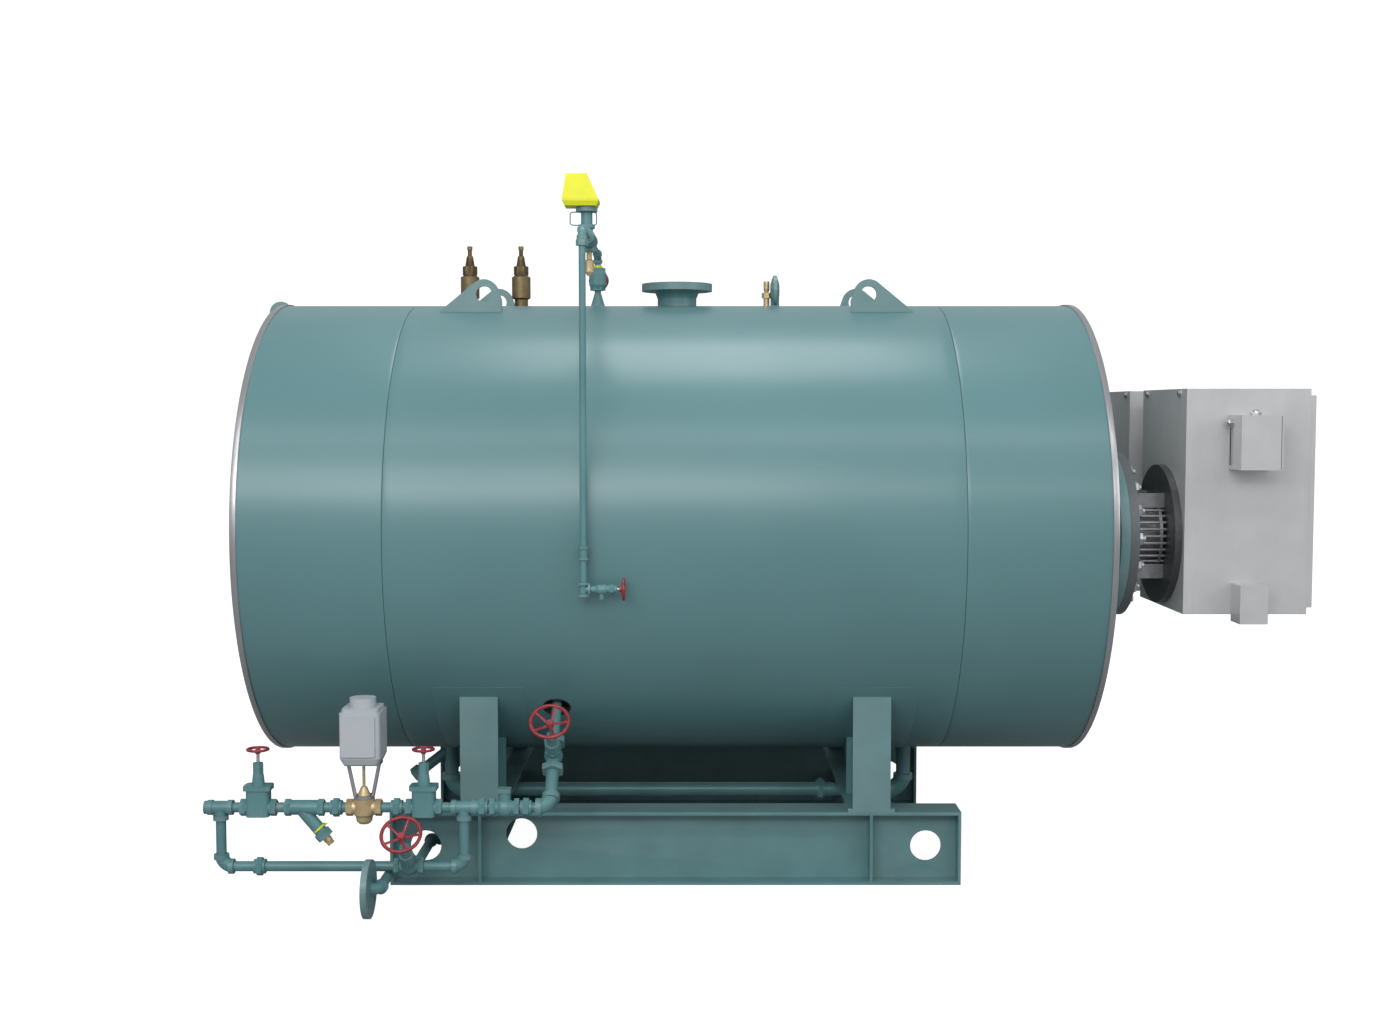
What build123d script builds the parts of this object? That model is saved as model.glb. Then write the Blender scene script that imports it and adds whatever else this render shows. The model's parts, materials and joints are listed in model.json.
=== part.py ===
from build123d import *
import math
import os

# Electric steam boiler on a skid. Millimetres, +Z up. The origin lies on the floor under the
# middle of the drum, +X runs along the drum to the heater end, and the pipe train is on the -Y side.

# Drum
drum_gap = 92
jacket_radius = 660
jacket_wall = 76
jacket_length = 2332
jacket_seam = 768
ring_width = 17
ring_rise = 4
ring_lip = 6
ring_band = 100
end_cover_thickness = 76
seat_gap = 0.3
overrun = 5

# Shares that pipe fittings and valves have in common
hex_share = 2 / math.sqrt(3)
tee_branch_share = 0.95
union_shoulder_share = 0.5
union_nut_share = 0.5
valve_barrel_share = 0.72
valve_mouth_share = 1 / 3
valve_bottom_shares = ((0, 0.5), (0.35, 0.9), (1, 1), (1.6, 0.86), (2, 0.8))
valve_shoulder_share = 0.55
valve_collar_low_share = 0.95
valve_collar_share = 0.35

# Steam nozzle, a 3 in flange on a flared neck
steam_flange_radius = 105
steam_flange_thickness = 22
steam_face_radius = 63.5
steam_face_rise = 2
steam_rise = 68
steam_neck_foot_radius = 58
steam_neck_top_radius = 67
steam_neck_straight_share = 0.5
steam_bore_radius = 39
steam_bolt_circle = 168
steam_bolt_hole_radius = 11
steam_bolt_count = 8

# Lifting lugs and the small eye on the blind end
lug_x = 554
lug_y = 185
lug_thickness = 16
lug_eye_rise = 23
lug_eye_radius = 23
lug_head_radius = 43
lug_inner_x = 503
lug_shoulder_rise = 6
lug_toe_x = 682
eye_x = 1186
eye_drop = 19
eye_radius = 33
eye_hole_radius = 15
eye_thickness = 14

# Safety valves, with shares of height and of body radius up the body
safety_xs = (-650, -490)
safety_y = 225
safety_height = 240
safety_body_radius = 29
safety_foot_radius = 21
safety_shares = ((0.1, 0.72), (0.31, 0.72), (0.33, 1), (0.6, 1), (0.62, 0.72), (0.74, 0.72),
                 (0.75, 0.5), (0.87, 0.34), (0.88, 0.22), (0.95, 0.22), (0.955, 0.28), (1, 0.28))
safety_nut_share = 0.63
safety_nut_height = 26
safety_nut_radius = 23
safety_outlet_share = 0.44
safety_outlet_radius = 17
safety_outlet_reach = 52
safety_outlet_nut = 16
safety_bore_radius = 12

# Vent fitting right of the steam nozzle, a blind disc seen edge on, and a small cock beside it
vent_x = 293
vent_disc_radius = 45
vent_disc_thickness = 26
vent_disc_shares = ((0, 0.45), (0.3, 1), (0.7, 1), (1, 0.45))
vent_rise = 92
vent_stem_radius = 13
vent_cock_x = 268
vent_cock_radius = 12.5
vent_cock_rise = 40
vent_cock_nut = 16
vent_cap_radius = 9
vent_cap_height = 36
vent_cap_shares = ((0, 0.7), (0.3, 1), (0.9, 1), (1, 0.6))

# Water column: a valve on the drum, a run forwards over the top, a probe and a tube down the front
column_x = -237
column_pipe_radius = 10
column_elbow_radius = 11.5
column_band_radius = 14
column_elbow_reach = 26
column_band_width = 10
column_cone_height = 40
column_cone_radius = 21.5
column_neck_radius = 9.5
column_valve_radius = 26
column_valve_rise = 47
column_valve_height = 67
column_valve_shares = ((0, 0.7), (0.25, 1), (0.75, 1), (1, 0.7))
column_valve_nut_radius = 20
column_valve_nut = 12
column_bonnet_radius = 13
column_bonnet_reach = 33
column_run_rise = 40
column_front_gap = 30
column_tube_radius = 9
column_tube_low = -133
column_nut_radius = 14
column_nut_height = 16
column_tee_reach = 18
column_tee_radius = 11
column_tee_band = 6
column_return_height = -21
column_drain_height = -116
column_drain_band_radius = 17
column_drain_length = 69
column_drain_radius = 13
column_drain_shares = ((0, 0.7), (0.2, 0.7), (0.3, 1), (0.55, 1), (0.65, 0.75), (1, 0.75))
column_drain_nut_share = 0.72
column_drain_nut = 11
column_spout_share = 0.42
column_spout_radius = 7
column_spout_length = 26
probe_y = -500
probe_tee_reach = 32
probe_tee_radius = 18
probe_tee_band_radius = 22
probe_neck = 66
probe_neck_radius = 15.5
probe_flange_radius = 29
probe_flange_thickness = 13
probe_head_height = 86
probe_skirt_height = 12
probe_shoulder_height = 6
probe_head_width = 97
probe_head_depth = 84
probe_skirt_share = 0.876
probe_top_width = 56
probe_top_inset = 9.5
probe_top_depth = 52
probe_head_shift = -15
air_vent_y = -400
air_vent_tee_reach = 30
air_vent_radius = 12.5
air_vent_length = 65
air_vent_shares = ((0, 0.5), (0.15, 1), (0.62, 1), (0.68, 0.6), (1, 0.6))

# Handwheels
small_wheel_radius = 30.5
large_wheel_radius = 55
small_rim_radius = 3.8
large_rim_radius = 5
small_wheel_dish = 5
large_wheel_dish = 12
spoke_width = 6
spoke_thickness = 3.6
wheel_nut_share = 0.85
small_spoke_count = 4
large_spoke_count = 5
small_hub_radius = 7
large_hub_radius = 11
stem_radius = 4
wheel_clearance = 0.05
hub_gap = 6
hub_height = 13
nut_height = 5

# Skid
beam_height = 203
beam_flange_width = 104
beam_flange_thickness = 9
beam_web = 6.2
beam_y = 449
beam_length = 1570
beam_hole_inset = 91
beam_hole_radius = 42.5
beam_hole_drop = 4
pipe_hole_x = -428
pipe_hole_height = 131
pipe_hole_radius = 43
stiffener_thickness = 8
end_plate_thickness = 8
anchor_inset = 165
anchor_hole_radius = 11
cross_height = 100
cross_width = 50
cross_web = 6
cross_flange = 8

# Saddles
saddle_inset = 247
saddle_width = 104
saddle_y = 500
saddle_rib_y = 311
saddle_plate = 12
saddle_foot_width = 130
saddle_foot_thickness = 10

# Feed train, 3/4 in screwed pipe
feed_above_beam = 61
feed_pipe_radius = 13.35
feed_band_radius = 20
feed_band_width = 13
feed_body_radius = 17.5
feed_reach = 33
feed_left = -1234
feed_inlet_radius = 12
feed_inlet_depth = 20
feed_tee_x = -1192
feed_tee2_x = -553
feed_right = -327
riser_radius = 16.7
riser_elbow_radius = 20
riser_band_radius = 24
riser_band_width = 15
riser_reach = 38
gate_xs = (-1092, -658)
gate_half_length = 47
gate_barrel_radius = 19.5
gate_mouth_radius = 20
gate_mouth_length = 15
gate_case_width = 60
gate_case_depth = 48
gate_case_drop = 22
gate_case_round = 12
gate_flange_low = 48
gate_flange_thickness = 12
gate_flange_width = 72
gate_flange_depth = 54
gate_flange_round = 9
gate_bonnet_radius = 17
gate_bonnet_top_radius = 14
gate_bonnet_height = 88
gate_gland_radius = 12
gate_gland_height = 119
gate_wheel_height = 149
strainer_x = -971
strainer_half_length = 51
strainer_leg_shift = 12
strainer_barrel_radius = 19.5
strainer_mouth_radius = 20
strainer_mouth_length = 15
strainer_cap_length = 20
strainer_leg = 104
strainer_leg_radius = 17
strainer_tilt = 50
strainer_cap_radius = 20
strainer_plug_radius = 11
strainer_plug_nut_radius = 9
union_xs = (-888, -729, -505, -390)
union_length = 30
union_radius = 25
check_x = -446
check_half_length = 38
check_radius = 24
check_shares = ((0, 0.75), (0.25, 0.75), (0.4, 1), (0.6, 1), (0.75, 0.75), (1, 0.75))
check_mouth_radius = 21
check_mouth_length = 13
check_cap_radius = 16
check_cap_height = 40
check_cap_width = 33
check_cap_thickness = 11

# Control valve and its electric actuator
control_x = -815
control_half_length = 46
control_barrel_radius = 19.5
control_mouth_radius = 20
control_mouth_length = 16
control_body_radius = 28
control_depth = 42
control_body_rise = 24
control_body_shares = ((0, 0.5), (0.1, 0.72), (0.29, 0.8), (0.38, 1), (1, 1))
control_neck_radius = 17
control_cone_height = 55
control_cone_radius = 8
control_stem_radius = 4
yoke_foot_radius = 26
yoke_foot_thickness = 9
yoke_foot_spread = 23
yoke_spread = 41
yoke_bar_radius = 5
yoke_top_thickness = 8
yoke_top_width = 92
yoke_top_depth = 50
actuator_low = 123
actuator_high = 258
actuator_width = 106
actuator_depth = 112
actuator_round = 12
actuator_panel_shift = 3
actuator_foot_share = 0.86
actuator_foot_height = 16
actuator_lid_share = 0.9
actuator_lid_height = 10
actuator_cap_radius = 34
actuator_cap_height = 24
actuator_panel_rise = 6
actuator_panel_width = 88
actuator_panel_margin = 6
actuator_panel_round = 6

# Bypass under the feed line
bypass_drop = 157
bypass_union_x = -1091
bypass_globe_x = -699
globe_half_length = 39
globe_mouth_radius = 19
globe_body_radius = 22
globe_bonnet_radius = 19
globe_bonnet_height = 62
globe_gland_radius = 13
globe_gland_height = 96
globe_wheel_height = 150

# Feed stop valve on the radial nozzle into the drum
stop_distance = 157
stop_half_length = 52
stop_mouth_radius = 27
stop_body_radius = 25
stop_bonnet_radius = 20
nozzle_recess_radius = 36
nozzle_recess_depth = 48

# Blowdown
drain_x = 688
drain_pipe_radius = 21
drain_band_radius = 29
drain_reach = 50
drain_band_width = 18
drain_elbow_radius = 25
header_height = 150
coupling_x = 436
coupling_radius = 35
coupling_length = 27
drain_branch_height = 130
drain_branch_reach_x = 113
drain_branch_reach_z = 88
drain_branch_radius = 16
drain_branch_cap_radius = 21
drain_branch_cap_length = 26
outlet_tee_x = -588
outlet_branch_reach = 40
outlet_branch_radius = 16
outlet_pipe_radius = 13.35
outlet_elbow_radius = 15.5
outlet_band_radius = 19
outlet_band_width = 12
outlet_reach = 28
outlet_height = 78
outlet_back_y = -300
outlet_hole_shift = 6
outlet_turn_y = -575
outlet_offset = 57
outlet_y = -800
outlet_flange_radius = 75
outlet_flange_thickness = 16
outlet_flange_lap = 8
outlet_bore_radius = 10
outlet_bolt_circle = 108
outlet_bolt_hole_radius = 8
outlet_bolt_count = 4
outlet_bolt_start = 45

# Heater bundles on the drum's axis and their terminal cabinets
heater_y = 290
vessel_flange_x = 1207
vessel_neck_radius = 162
flange_radius = 230
flange_thickness = 25
flange_bolt_circle = 385
flange_bolt_count = 16
bolt_head_radius = 17
bolt_head_height = 16
heater_hub_height = 5
heater_hub_radius = 122
rod_circle_radius = 110
rod_radius = 4.5
rod_count = 36
standoff_end = 1362
support_ring_x = 1345
support_ring_thickness = 8
support_ring_radius = 114
core_radius = 78
strap_offset = 86.5
strap_height = 40
strap_low = 79
strap_thickness = 5
disc_radius = 196
cabinet_left = 1382
cabinet_width = 336
cabinet_near = 501
cabinet_far = 74
cabinet_drop = 205
cabinet_rise = 408
cabinet_edge = 1.5
door_thickness = 16
door_margin_low = 18
door_margin_high = 18
door_edge = 4
door_bevel = 2
upper_box_left = 1497
upper_box_right = 1608
upper_box_low = 191
upper_box_high = 336
upper_box_depth = 105
lower_box_left = 1512
lower_box_right = 1587
lower_box_low = -223
lower_box_high = -120
lower_box_depth = 76

# Values worked out from the sizes above
axis_height = beam_height + drum_gap + jacket_radius
feed_height = beam_height + feed_above_beam
bypass_height = feed_height - bypass_drop
half_length = jacket_length / 2
jacket_end = half_length - ring_lip - seat_gap
seat_radius = jacket_radius + seat_gap
ring_inner_radius = jacket_radius - ring_band
steam_top = jacket_radius + steam_rise
lug_eye_height = jacket_radius + lug_eye_rise
lug_shoulder_height = jacket_radius + lug_shoulder_rise
eye_height = jacket_radius - eye_drop
vent_top = jacket_radius + vent_rise
vent_cock_height = jacket_radius + vent_cock_rise
column_valve_low = jacket_radius + column_valve_rise
column_valve_high = column_valve_low + column_valve_height
column_run_height = column_valve_high + column_run_rise
column_run_y = -(jacket_radius + column_front_gap)
feed_y = feed_above_beam - drum_gap - jacket_radius  # the riser then leaves at 45 degrees
vessel_radius = jacket_radius - jacket_wall
beam_end = beam_length / 2
beam_hole_x = beam_end - beam_hole_inset
saddle_x = beam_end - saddle_inset
anchor_x = beam_end - anchor_inset
probe_flange_low = column_run_height + probe_neck
outlet_cross_x = -beam_hole_x - outlet_hole_shift
outlet_side_x = outlet_cross_x - outlet_offset
standoff_start = vessel_flange_x + 2 * flange_thickness + heater_hub_height + 2 * seat_gap
rods_end = standoff_end - seat_gap
front = Vector(0, -1, 0)
back = Vector(0, 1, 0)
up = Vector(0, 0, 1)
down = Vector(0, 0, -1)
right = Vector(1, 0, 0)
left = Vector(-1, 0, 0)
slant = Vector(0, -math.sqrt(0.5), -math.sqrt(0.5))
slant_up = Vector(0, -math.sqrt(0.5), math.sqrt(0.5))


# A solid of revolution: the profile is pairs of distance along the axis and radius.
def turned(origin, direction, profile, bore=0):
    outline = [(bore, profile[0][0])]
    outline += [(radius, reach) for reach, radius in profile]
    outline += [(bore, profile[-1][0])]
    points = [p for i, p in enumerate(outline) if i == 0 or p != outline[i - 1]]
    face = make_face(Polyline(*[(r, 0, z) for r, z in points], close=True))
    solid = revolve(face, Axis.Z)
    return Plane(origin=Vector(origin), z_dir=Vector(direction)) * solid


# Stations from shares of a length and of a radius.
def stations(shares, length, radius):
    return [(length * a, radius * b) for a, b in shares]


# A round bar or pipe from one point to another.
def bar(start, end, radius, bore=0):
    start, end = Vector(start), Vector(end)
    return turned(start, end - start, [(0, radius), ((end - start).length, radius)], bore)


# A hexagon prism along a direction, with its flats at the given half width.
def hexagon(origin, direction, half_width, height):
    face = RegularPolygon(half_width * hex_share, 6)
    return Plane(origin=Vector(origin), z_dir=Vector(direction)) * extrude(face, height)


# A box between two corners.
def block(low, high):
    size = Vector(high) - Vector(low)
    middle = (Vector(high) + Vector(low)) / 2
    return Pos(middle.X, middle.Y, middle.Z) * Box(size.X, size.Y, size.Z)


# A quarter bend of round section about a corner, from the side of `first` to that of `second`.
def bend(corner, first, second, reach, radius):
    corner, first, second = Vector(corner), Vector(first), Vector(second)
    centre = corner + (first + second) * reach
    local = Plane(origin=centre, x_dir=-second, z_dir=second.cross(first))
    section = Plane.XZ * Pos(reach, 0) * Circle(radius)
    return local * revolve(section, Axis.Z, 90)


# A screwed elbow: the bend with a band round each mouth.
def elbow(corner, first, second, reach, body, band, band_width):
    corner = Vector(corner)
    result = bend(corner, first, second, reach, body)
    for way in (Vector(first), Vector(second)):
        result += bar(corner + way * (reach - band_width), corner + way * reach, band)
    return result


# A screwed tee: a straight body with one branch and a band round each mouth.
def tee(centre, along, branch, reach, body, band, band_width):
    centre, along, branch = Vector(centre), Vector(along), Vector(branch)
    result = bar(centre - along * reach, centre + along * reach, body)
    result += bar(centre, centre + branch * reach, body * tee_branch_share)
    for way in (along, -along, branch):
        result += bar(centre + way * (reach - band_width), centre + way * reach, band)
    return result


# A screwed union: a hexagon nut between two shoulders.
def union_joint(centre, along, length, radius, pipe):
    centre, along = Vector(centre), Vector(along)
    start = centre - along * (length / 2)
    nut = length * union_nut_share
    result = bar(start, centre + along * (length / 2), pipe + (radius - pipe) * union_shoulder_share)
    return result + hexagon(centre - along * (nut / 2), along, radius / hex_share, nut)


# A valve body on a pipe with hexagon mouths, a bonnet and a stem that carries a wheel. The sizes are
# its half length, mouth, body, bonnet radius and height, gland radius and height, and wheel height.
def valve_body(centre, along, stem, sizes):
    half, mouth, body, bonnet, bonnet_height, gland, gland_height, wheel_height = sizes
    centre, along, stem = Vector(centre), Vector(along), Vector(stem)
    mouth_length = half * valve_mouth_share
    result = bar(centre - along * half, centre + along * half, body * valve_barrel_share)
    result += hexagon(centre - along * half, along, mouth, mouth_length)
    result += hexagon(centre + along * (half - mouth_length), along, mouth, mouth_length)
    profile = stations(valve_bottom_shares, body, body)
    profile += [(body + bonnet_height * valve_shoulder_share, bonnet), (body + bonnet_height, bonnet)]
    result += turned(centre - stem * body, stem, profile)
    collar = centre + stem * (body * valve_collar_low_share)
    result += hexagon(collar, stem, body * valve_barrel_share * hex_share, body * valve_collar_share)
    result += hexagon(centre + stem * bonnet_height, stem, gland, gland_height - bonnet_height)
    result += bar(centre + stem * bonnet_height, centre + stem * (wheel_height + hub_height / 2), stem_radius)
    return result


# A spoked handwheel whose hub sits over the stem, with a closed nut on top.
def handwheel(centre, stem, radius, rim, dish, spokes, hub):
    low = -hub_height / 2
    wheel = revolve(Plane.XZ * Pos(radius - rim, dish) * Circle(rim), Axis.Z)
    wheel += Pos(0, 0, low) * Cylinder(hub, hub_height, align=(Align.CENTER, Align.CENTER, Align.MIN))
    wheel += Pos(0, 0, low + hub_height) * extrude(RegularPolygon(hub * wheel_nut_share, 6), nut_height)
    reach = math.hypot(radius - rim, dish)
    tilt = math.degrees(math.atan2(dish, radius - rim))
    for i in range(spokes):
        spoke = Pos(reach / 2, 0, 0) * Box(reach, spoke_width, spoke_thickness)
        wheel += Rot(0, 0, 360 * i / spokes) * Rot(0, -tilt, 0) * spoke
    bore_depth = hub_height + seat_gap
    wheel -= Pos(0, 0, low) * Cylinder(stem_radius + wheel_clearance, bore_depth,
                                       align=(Align.CENTER, Align.CENTER, Align.MIN))
    return Plane(origin=Vector(centre), z_dir=Vector(stem)) * wheel


# A bar along X through the drum's centre line.
def drum(radius, start, end):
    return bar((start, 0, axis_height), (end, 0, axis_height), radius)


def jacket(start, end):
    return drum(jacket_radius, start, end) - drum(vessel_radius, start - overrun, end + overrun)


def jacket_centre():
    sheet = jacket(-jacket_seam, jacket_seam)
    top = axis_height + jacket_radius
    sheet -= bar((0, 0, axis_height), (0, 0, top + overrun), steam_bore_radius)
    mouth = Vector(feed_right, 0, axis_height)
    outer = mouth + slant * (jacket_radius + overrun)
    inner = mouth + slant * (jacket_radius - nozzle_recess_depth)
    return sheet - bar(inner, outer, nozzle_recess_radius)


def end_cover(side):
    start, end = sorted((side * jacket_end, side * (jacket_end - end_cover_thickness)))
    return drum(vessel_radius - seat_gap, start, end)


def trim_ring(side):
    outer_x, inner_x = half_length, half_length - ring_width
    radius = jacket_radius + ring_rise
    ring = drum(radius, *sorted((side * inner_x, side * outer_x)))
    ring -= drum(seat_radius, *sorted((side * (inner_x - overrun), side * (outer_x - ring_lip))))
    return ring - drum(ring_inner_radius, *sorted((side * inner_x, side * (outer_x + overrun))))


# Keeps only what lies outside the jacket, clear of it by the seat gap.
def off_jacket(shape):
    return shape - drum(seat_radius, -half_length, half_length)


def steam_nozzle():
    top = axis_height + steam_top
    flange_low = steam_top - steam_face_rise - steam_flange_thickness
    foot = jacket_radius - overrun
    straight = jacket_radius + (flange_low - jacket_radius) * steam_neck_straight_share
    neck = turned((0, 0, axis_height), up, [
        (foot, steam_neck_foot_radius), (straight, steam_neck_foot_radius),
        (flange_low, steam_neck_top_radius), (flange_low, steam_flange_radius),
        (flange_low + steam_flange_thickness, steam_flange_radius),
        (flange_low + steam_flange_thickness, steam_face_radius), (steam_top, steam_face_radius)],
        bore=steam_bore_radius)
    neck = off_jacket(neck)
    holes = PolarLocations(steam_bolt_circle / 2, steam_bolt_count)
    for spot in holes:
        neck -= Pos(0, 0, top) * spot * Cylinder(steam_bolt_hole_radius, 4 * steam_flange_thickness)
    return neck


def lifting_lug(side_x, side_y):
    eye = (side_x * lug_x, axis_height + lug_eye_height)
    foot = axis_height + math.sqrt(jacket_radius ** 2 - lug_y ** 2) - lug_thickness
    corners = [(side_x * lug_inner_x, foot), (side_x * lug_inner_x, axis_height + lug_shoulder_height),
               (side_x * lug_toe_x, foot + lug_thickness), (side_x * lug_toe_x, foot)]
    head = Pos(*eye) * Circle(lug_head_radius)
    outline = make_hull([*Polyline(*corners, close=True).edges(), *head.edges()])
    plate = outline - Pos(*eye) * Circle(lug_eye_radius)
    solid = extrude(Plane.XZ * plate, lug_thickness / 2, both=True)
    return off_jacket(Pos(0, side_y * lug_y, 0) * solid)


def end_lifting_eye():
    centre = Vector(-eye_x, 0, axis_height + eye_height)
    ear = bar(centre + front * (eye_thickness / 2), centre + back * (eye_thickness / 2), eye_radius)
    ear -= bar(centre + front * eye_thickness, centre + back * eye_thickness, eye_hole_radius)
    limit = half_length + seat_gap
    return ear - block((-limit, -eye_radius, 0), (0, eye_radius, axis_height + 2 * jacket_radius))


def safety_valve(x):
    foot = math.sqrt(jacket_radius ** 2 - safety_y ** 2)
    base = Vector(x, safety_y, axis_height + foot)
    profile = stations(safety_shares, safety_height, safety_body_radius)
    valve = off_jacket(bar(base - up * safety_body_radius, base + up * profile[1][0], safety_foot_radius))
    valve += turned(base, up, profile)
    nut = base + up * (safety_height * safety_nut_share)
    valve += hexagon(nut, up, safety_nut_radius / hex_share, safety_nut_height)
    outlet = base + up * (safety_height * safety_outlet_share)
    mouth = outlet + back * safety_outlet_reach
    valve += bar(outlet, mouth, safety_outlet_radius)
    valve += hexagon(mouth, front, safety_outlet_radius, safety_outlet_nut)
    return valve - bar(mouth + front * safety_outlet_nut * 2, mouth + back * overrun, safety_bore_radius)


def vent_fitting():
    centre = Vector(vent_x, 0, axis_height + vent_top - vent_disc_radius)
    start = centre + left * (vent_disc_thickness / 2)
    disc = turned(start, right, stations(vent_disc_shares, vent_disc_thickness, vent_disc_radius))
    foot = Vector(vent_x, 0, axis_height + jacket_radius - overrun)
    return off_jacket(disc + bar(foot, centre, vent_stem_radius))


def vent_cock():
    foot = Vector(vent_cock_x, 0, axis_height + jacket_radius - overrun)
    high = Vector(vent_cock_x, 0, axis_height + vent_cock_height)
    body = bar(foot, high, vent_cap_radius)
    body += hexagon(high, down, vent_cock_radius, vent_cock_nut)
    body += turned(high, up, stations(vent_cap_shares, vent_cap_height, vent_cap_radius))
    clear = vent_x - vent_disc_thickness / 2 - seat_gap
    keep = block((0, -vent_disc_radius, 0), (clear, vent_disc_radius, axis_height + 2 * jacket_radius))
    return off_jacket(body & keep)


def column_top_valve():
    base = Vector(column_x, 0, axis_height)
    body = off_jacket(turned(base, up, [
        (jacket_radius - overrun, column_cone_radius), (jacket_radius, column_cone_radius),
        (jacket_radius + column_cone_height, column_neck_radius), (column_valve_low, column_neck_radius)]))
    height = column_valve_height
    low, high = base + up * column_valve_low, base + up * column_valve_high
    body += turned(low, up, stations(column_valve_shares, height, column_valve_radius))
    body += hexagon(low, up, column_valve_nut_radius, column_valve_nut)
    body += hexagon(high, down, column_valve_nut_radius, column_valve_nut)
    middle = (low + high) / 2
    body += hexagon(middle, back, column_bonnet_radius, column_bonnet_reach)
    return body + bar(middle, column_top_wheel_centre() + back * (hub_height / 2), stem_radius)


def column_top_wheel_centre():
    height = (column_valve_low + column_valve_high) / 2
    return Vector(column_x, column_bonnet_reach + hub_gap + hub_height / 2, axis_height + height)


def column_run():
    height = axis_height + column_run_height
    corner = Vector(column_x, 0, height)
    end = Vector(column_x, column_run_y, height)
    probe = Vector(column_x, probe_y, height)
    vent = Vector(column_x, air_vent_y, height)
    bands = (column_elbow_reach, column_elbow_radius, column_band_radius, column_band_width)
    inside = column_elbow_reach - column_band_width / 2
    run = bar(corner + front * inside, vent, column_pipe_radius)
    run += bar(probe, end + back * inside, column_tube_radius)
    run += bar(vent, probe, probe_tee_radius)
    run += elbow(corner, down, front, *bands)
    run += elbow(end, back, down, *bands)
    run += bar(corner + down * (column_run_height - column_valve_high - seat_gap), corner + down * inside,
               column_pipe_radius)
    tee_sizes = (probe_tee_radius, probe_tee_band_radius, column_band_width)
    run += tee(probe, front, up, probe_tee_reach, *tee_sizes)
    run += tee(vent, front, down, air_vent_tee_reach, *tee_sizes)
    foot = probe + up * probe_neck
    run += bar(probe, foot, probe_neck_radius)
    return run + bar(foot, foot + up * probe_flange_thickness, probe_flange_radius)


def air_vent():
    top = Vector(column_x, air_vent_y, axis_height + column_run_height - air_vent_tee_reach - seat_gap)
    low = top + down * air_vent_length
    return turned(low, up, stations(air_vent_shares, air_vent_length, air_vent_radius))


def probe_head():
    low = axis_height + probe_flange_low + probe_flange_thickness + seat_gap
    skirt = low + probe_skirt_height
    shoulder = skirt + probe_shoulder_height
    top = low + probe_head_height
    x = column_x + probe_head_shift
    share = probe_skirt_share
    foot = Pos(x, probe_y, low) * Rectangle(probe_head_width * share, probe_head_depth * share)
    widest = Pos(x, probe_y, skirt) * Rectangle(probe_head_width, probe_head_depth)
    ledge = Pos(x, probe_y, shoulder) * Rectangle(probe_head_width, probe_head_depth)
    top_x = x - probe_head_width / 2 + probe_top_inset + probe_top_width / 2
    crown = Pos(top_x, probe_y, top) * Rectangle(probe_top_width, probe_top_depth)
    head = loft([foot.face(), widest.face()])
    head += loft([widest.face(), ledge.face()])
    return head + loft([ledge.face(), crown.face()])


def column_tube():
    top = Vector(column_x, column_run_y, axis_height + column_run_height - column_elbow_reach - seat_gap)
    low = Vector(column_x, column_run_y, axis_height + column_tube_low)
    tube = bar(low, top, column_tube_radius)
    tube += hexagon(top, down, column_nut_radius, column_nut_height)
    water = Vector(column_x, column_run_y, axis_height + column_return_height)
    tube += bar(water, water + back * (-column_run_y - vessel_radius), column_tube_radius)
    tube += tee(water, up, back, column_tee_reach, column_tee_radius, column_nut_radius, column_tee_band)
    drain = Vector(column_x, column_run_y, axis_height + column_drain_height)
    tube += tee(drain, up, right, column_tee_reach, column_tee_radius, column_drain_band_radius,
                column_tee_band)
    return off_jacket(tube)


def column_drain_valve():
    start = Vector(column_x + column_tee_reach + seat_gap, column_run_y, axis_height + column_drain_height)
    end = start + right * column_drain_length
    valve = turned(start, right, stations(column_drain_shares, column_drain_length, column_drain_radius))
    nut = start + right * (column_drain_length * column_drain_nut_share)
    valve += hexagon(nut, right, column_drain_radius / hex_share, column_drain_nut)
    spout = start + right * (column_drain_length * column_spout_share)
    valve += bar(spout, spout + down * column_spout_length, column_spout_radius)
    return valve + bar(start, end + right * (hub_gap + hub_height), stem_radius)


def column_drain_wheel_centre():
    reach = column_tee_reach + seat_gap + column_drain_length + hub_gap + hub_height / 2
    return Vector(column_x + reach, column_run_y, axis_height + column_drain_height)


def beam(side):
    length = beam_end
    y = side * beam_y
    web = block((-length, y - beam_web / 2, 0), (length, y + beam_web / 2, beam_height))
    half = beam_flange_width / 2
    shape = web + block((-length, y - half, 0), (length, y + half, beam_flange_thickness))
    shape += block((-length, y - half, beam_height - beam_flange_thickness), (length, y + half, beam_height))
    outer, inner = sorted((y + side * half, y + side * beam_web / 2))
    for x in (-saddle_x, saddle_x):
        plate = block((x - stiffener_thickness / 2, outer, beam_flange_thickness),
                      (x + stiffener_thickness / 2, inner, beam_height - beam_flange_thickness))
        shape += plate
    for way in (-1, 1):
        low_x, high_x = sorted((way * length, way * (length - end_plate_thickness)))
        shape += block((low_x, y - half, 0), (high_x, y + half, beam_height))
    for x in (-beam_hole_x, beam_hole_x):
        height = beam_height / 2 - beam_hole_drop
        shape -= bar((x, y - half, height), (x, y + half, height), beam_hole_radius)
    for x in (-anchor_x, anchor_x):
        shape -= bar((x, y + side * half / 2, -overrun), (x, y + side * half / 2, 2 * beam_flange_thickness),
                     anchor_hole_radius)
    return shape


def front_beam():
    y = -beam_y
    half = beam_flange_width / 2
    hole = bar((pipe_hole_x, y - half, pipe_hole_height), (pipe_hole_x, y + half, pipe_hole_height),
               pipe_hole_radius)
    limit = beam_height - beam_flange_thickness
    keep = block((-beam_length, y - half, beam_flange_thickness), (beam_length, y + half, limit))
    return beam(-1) - (hole & keep)


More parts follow.
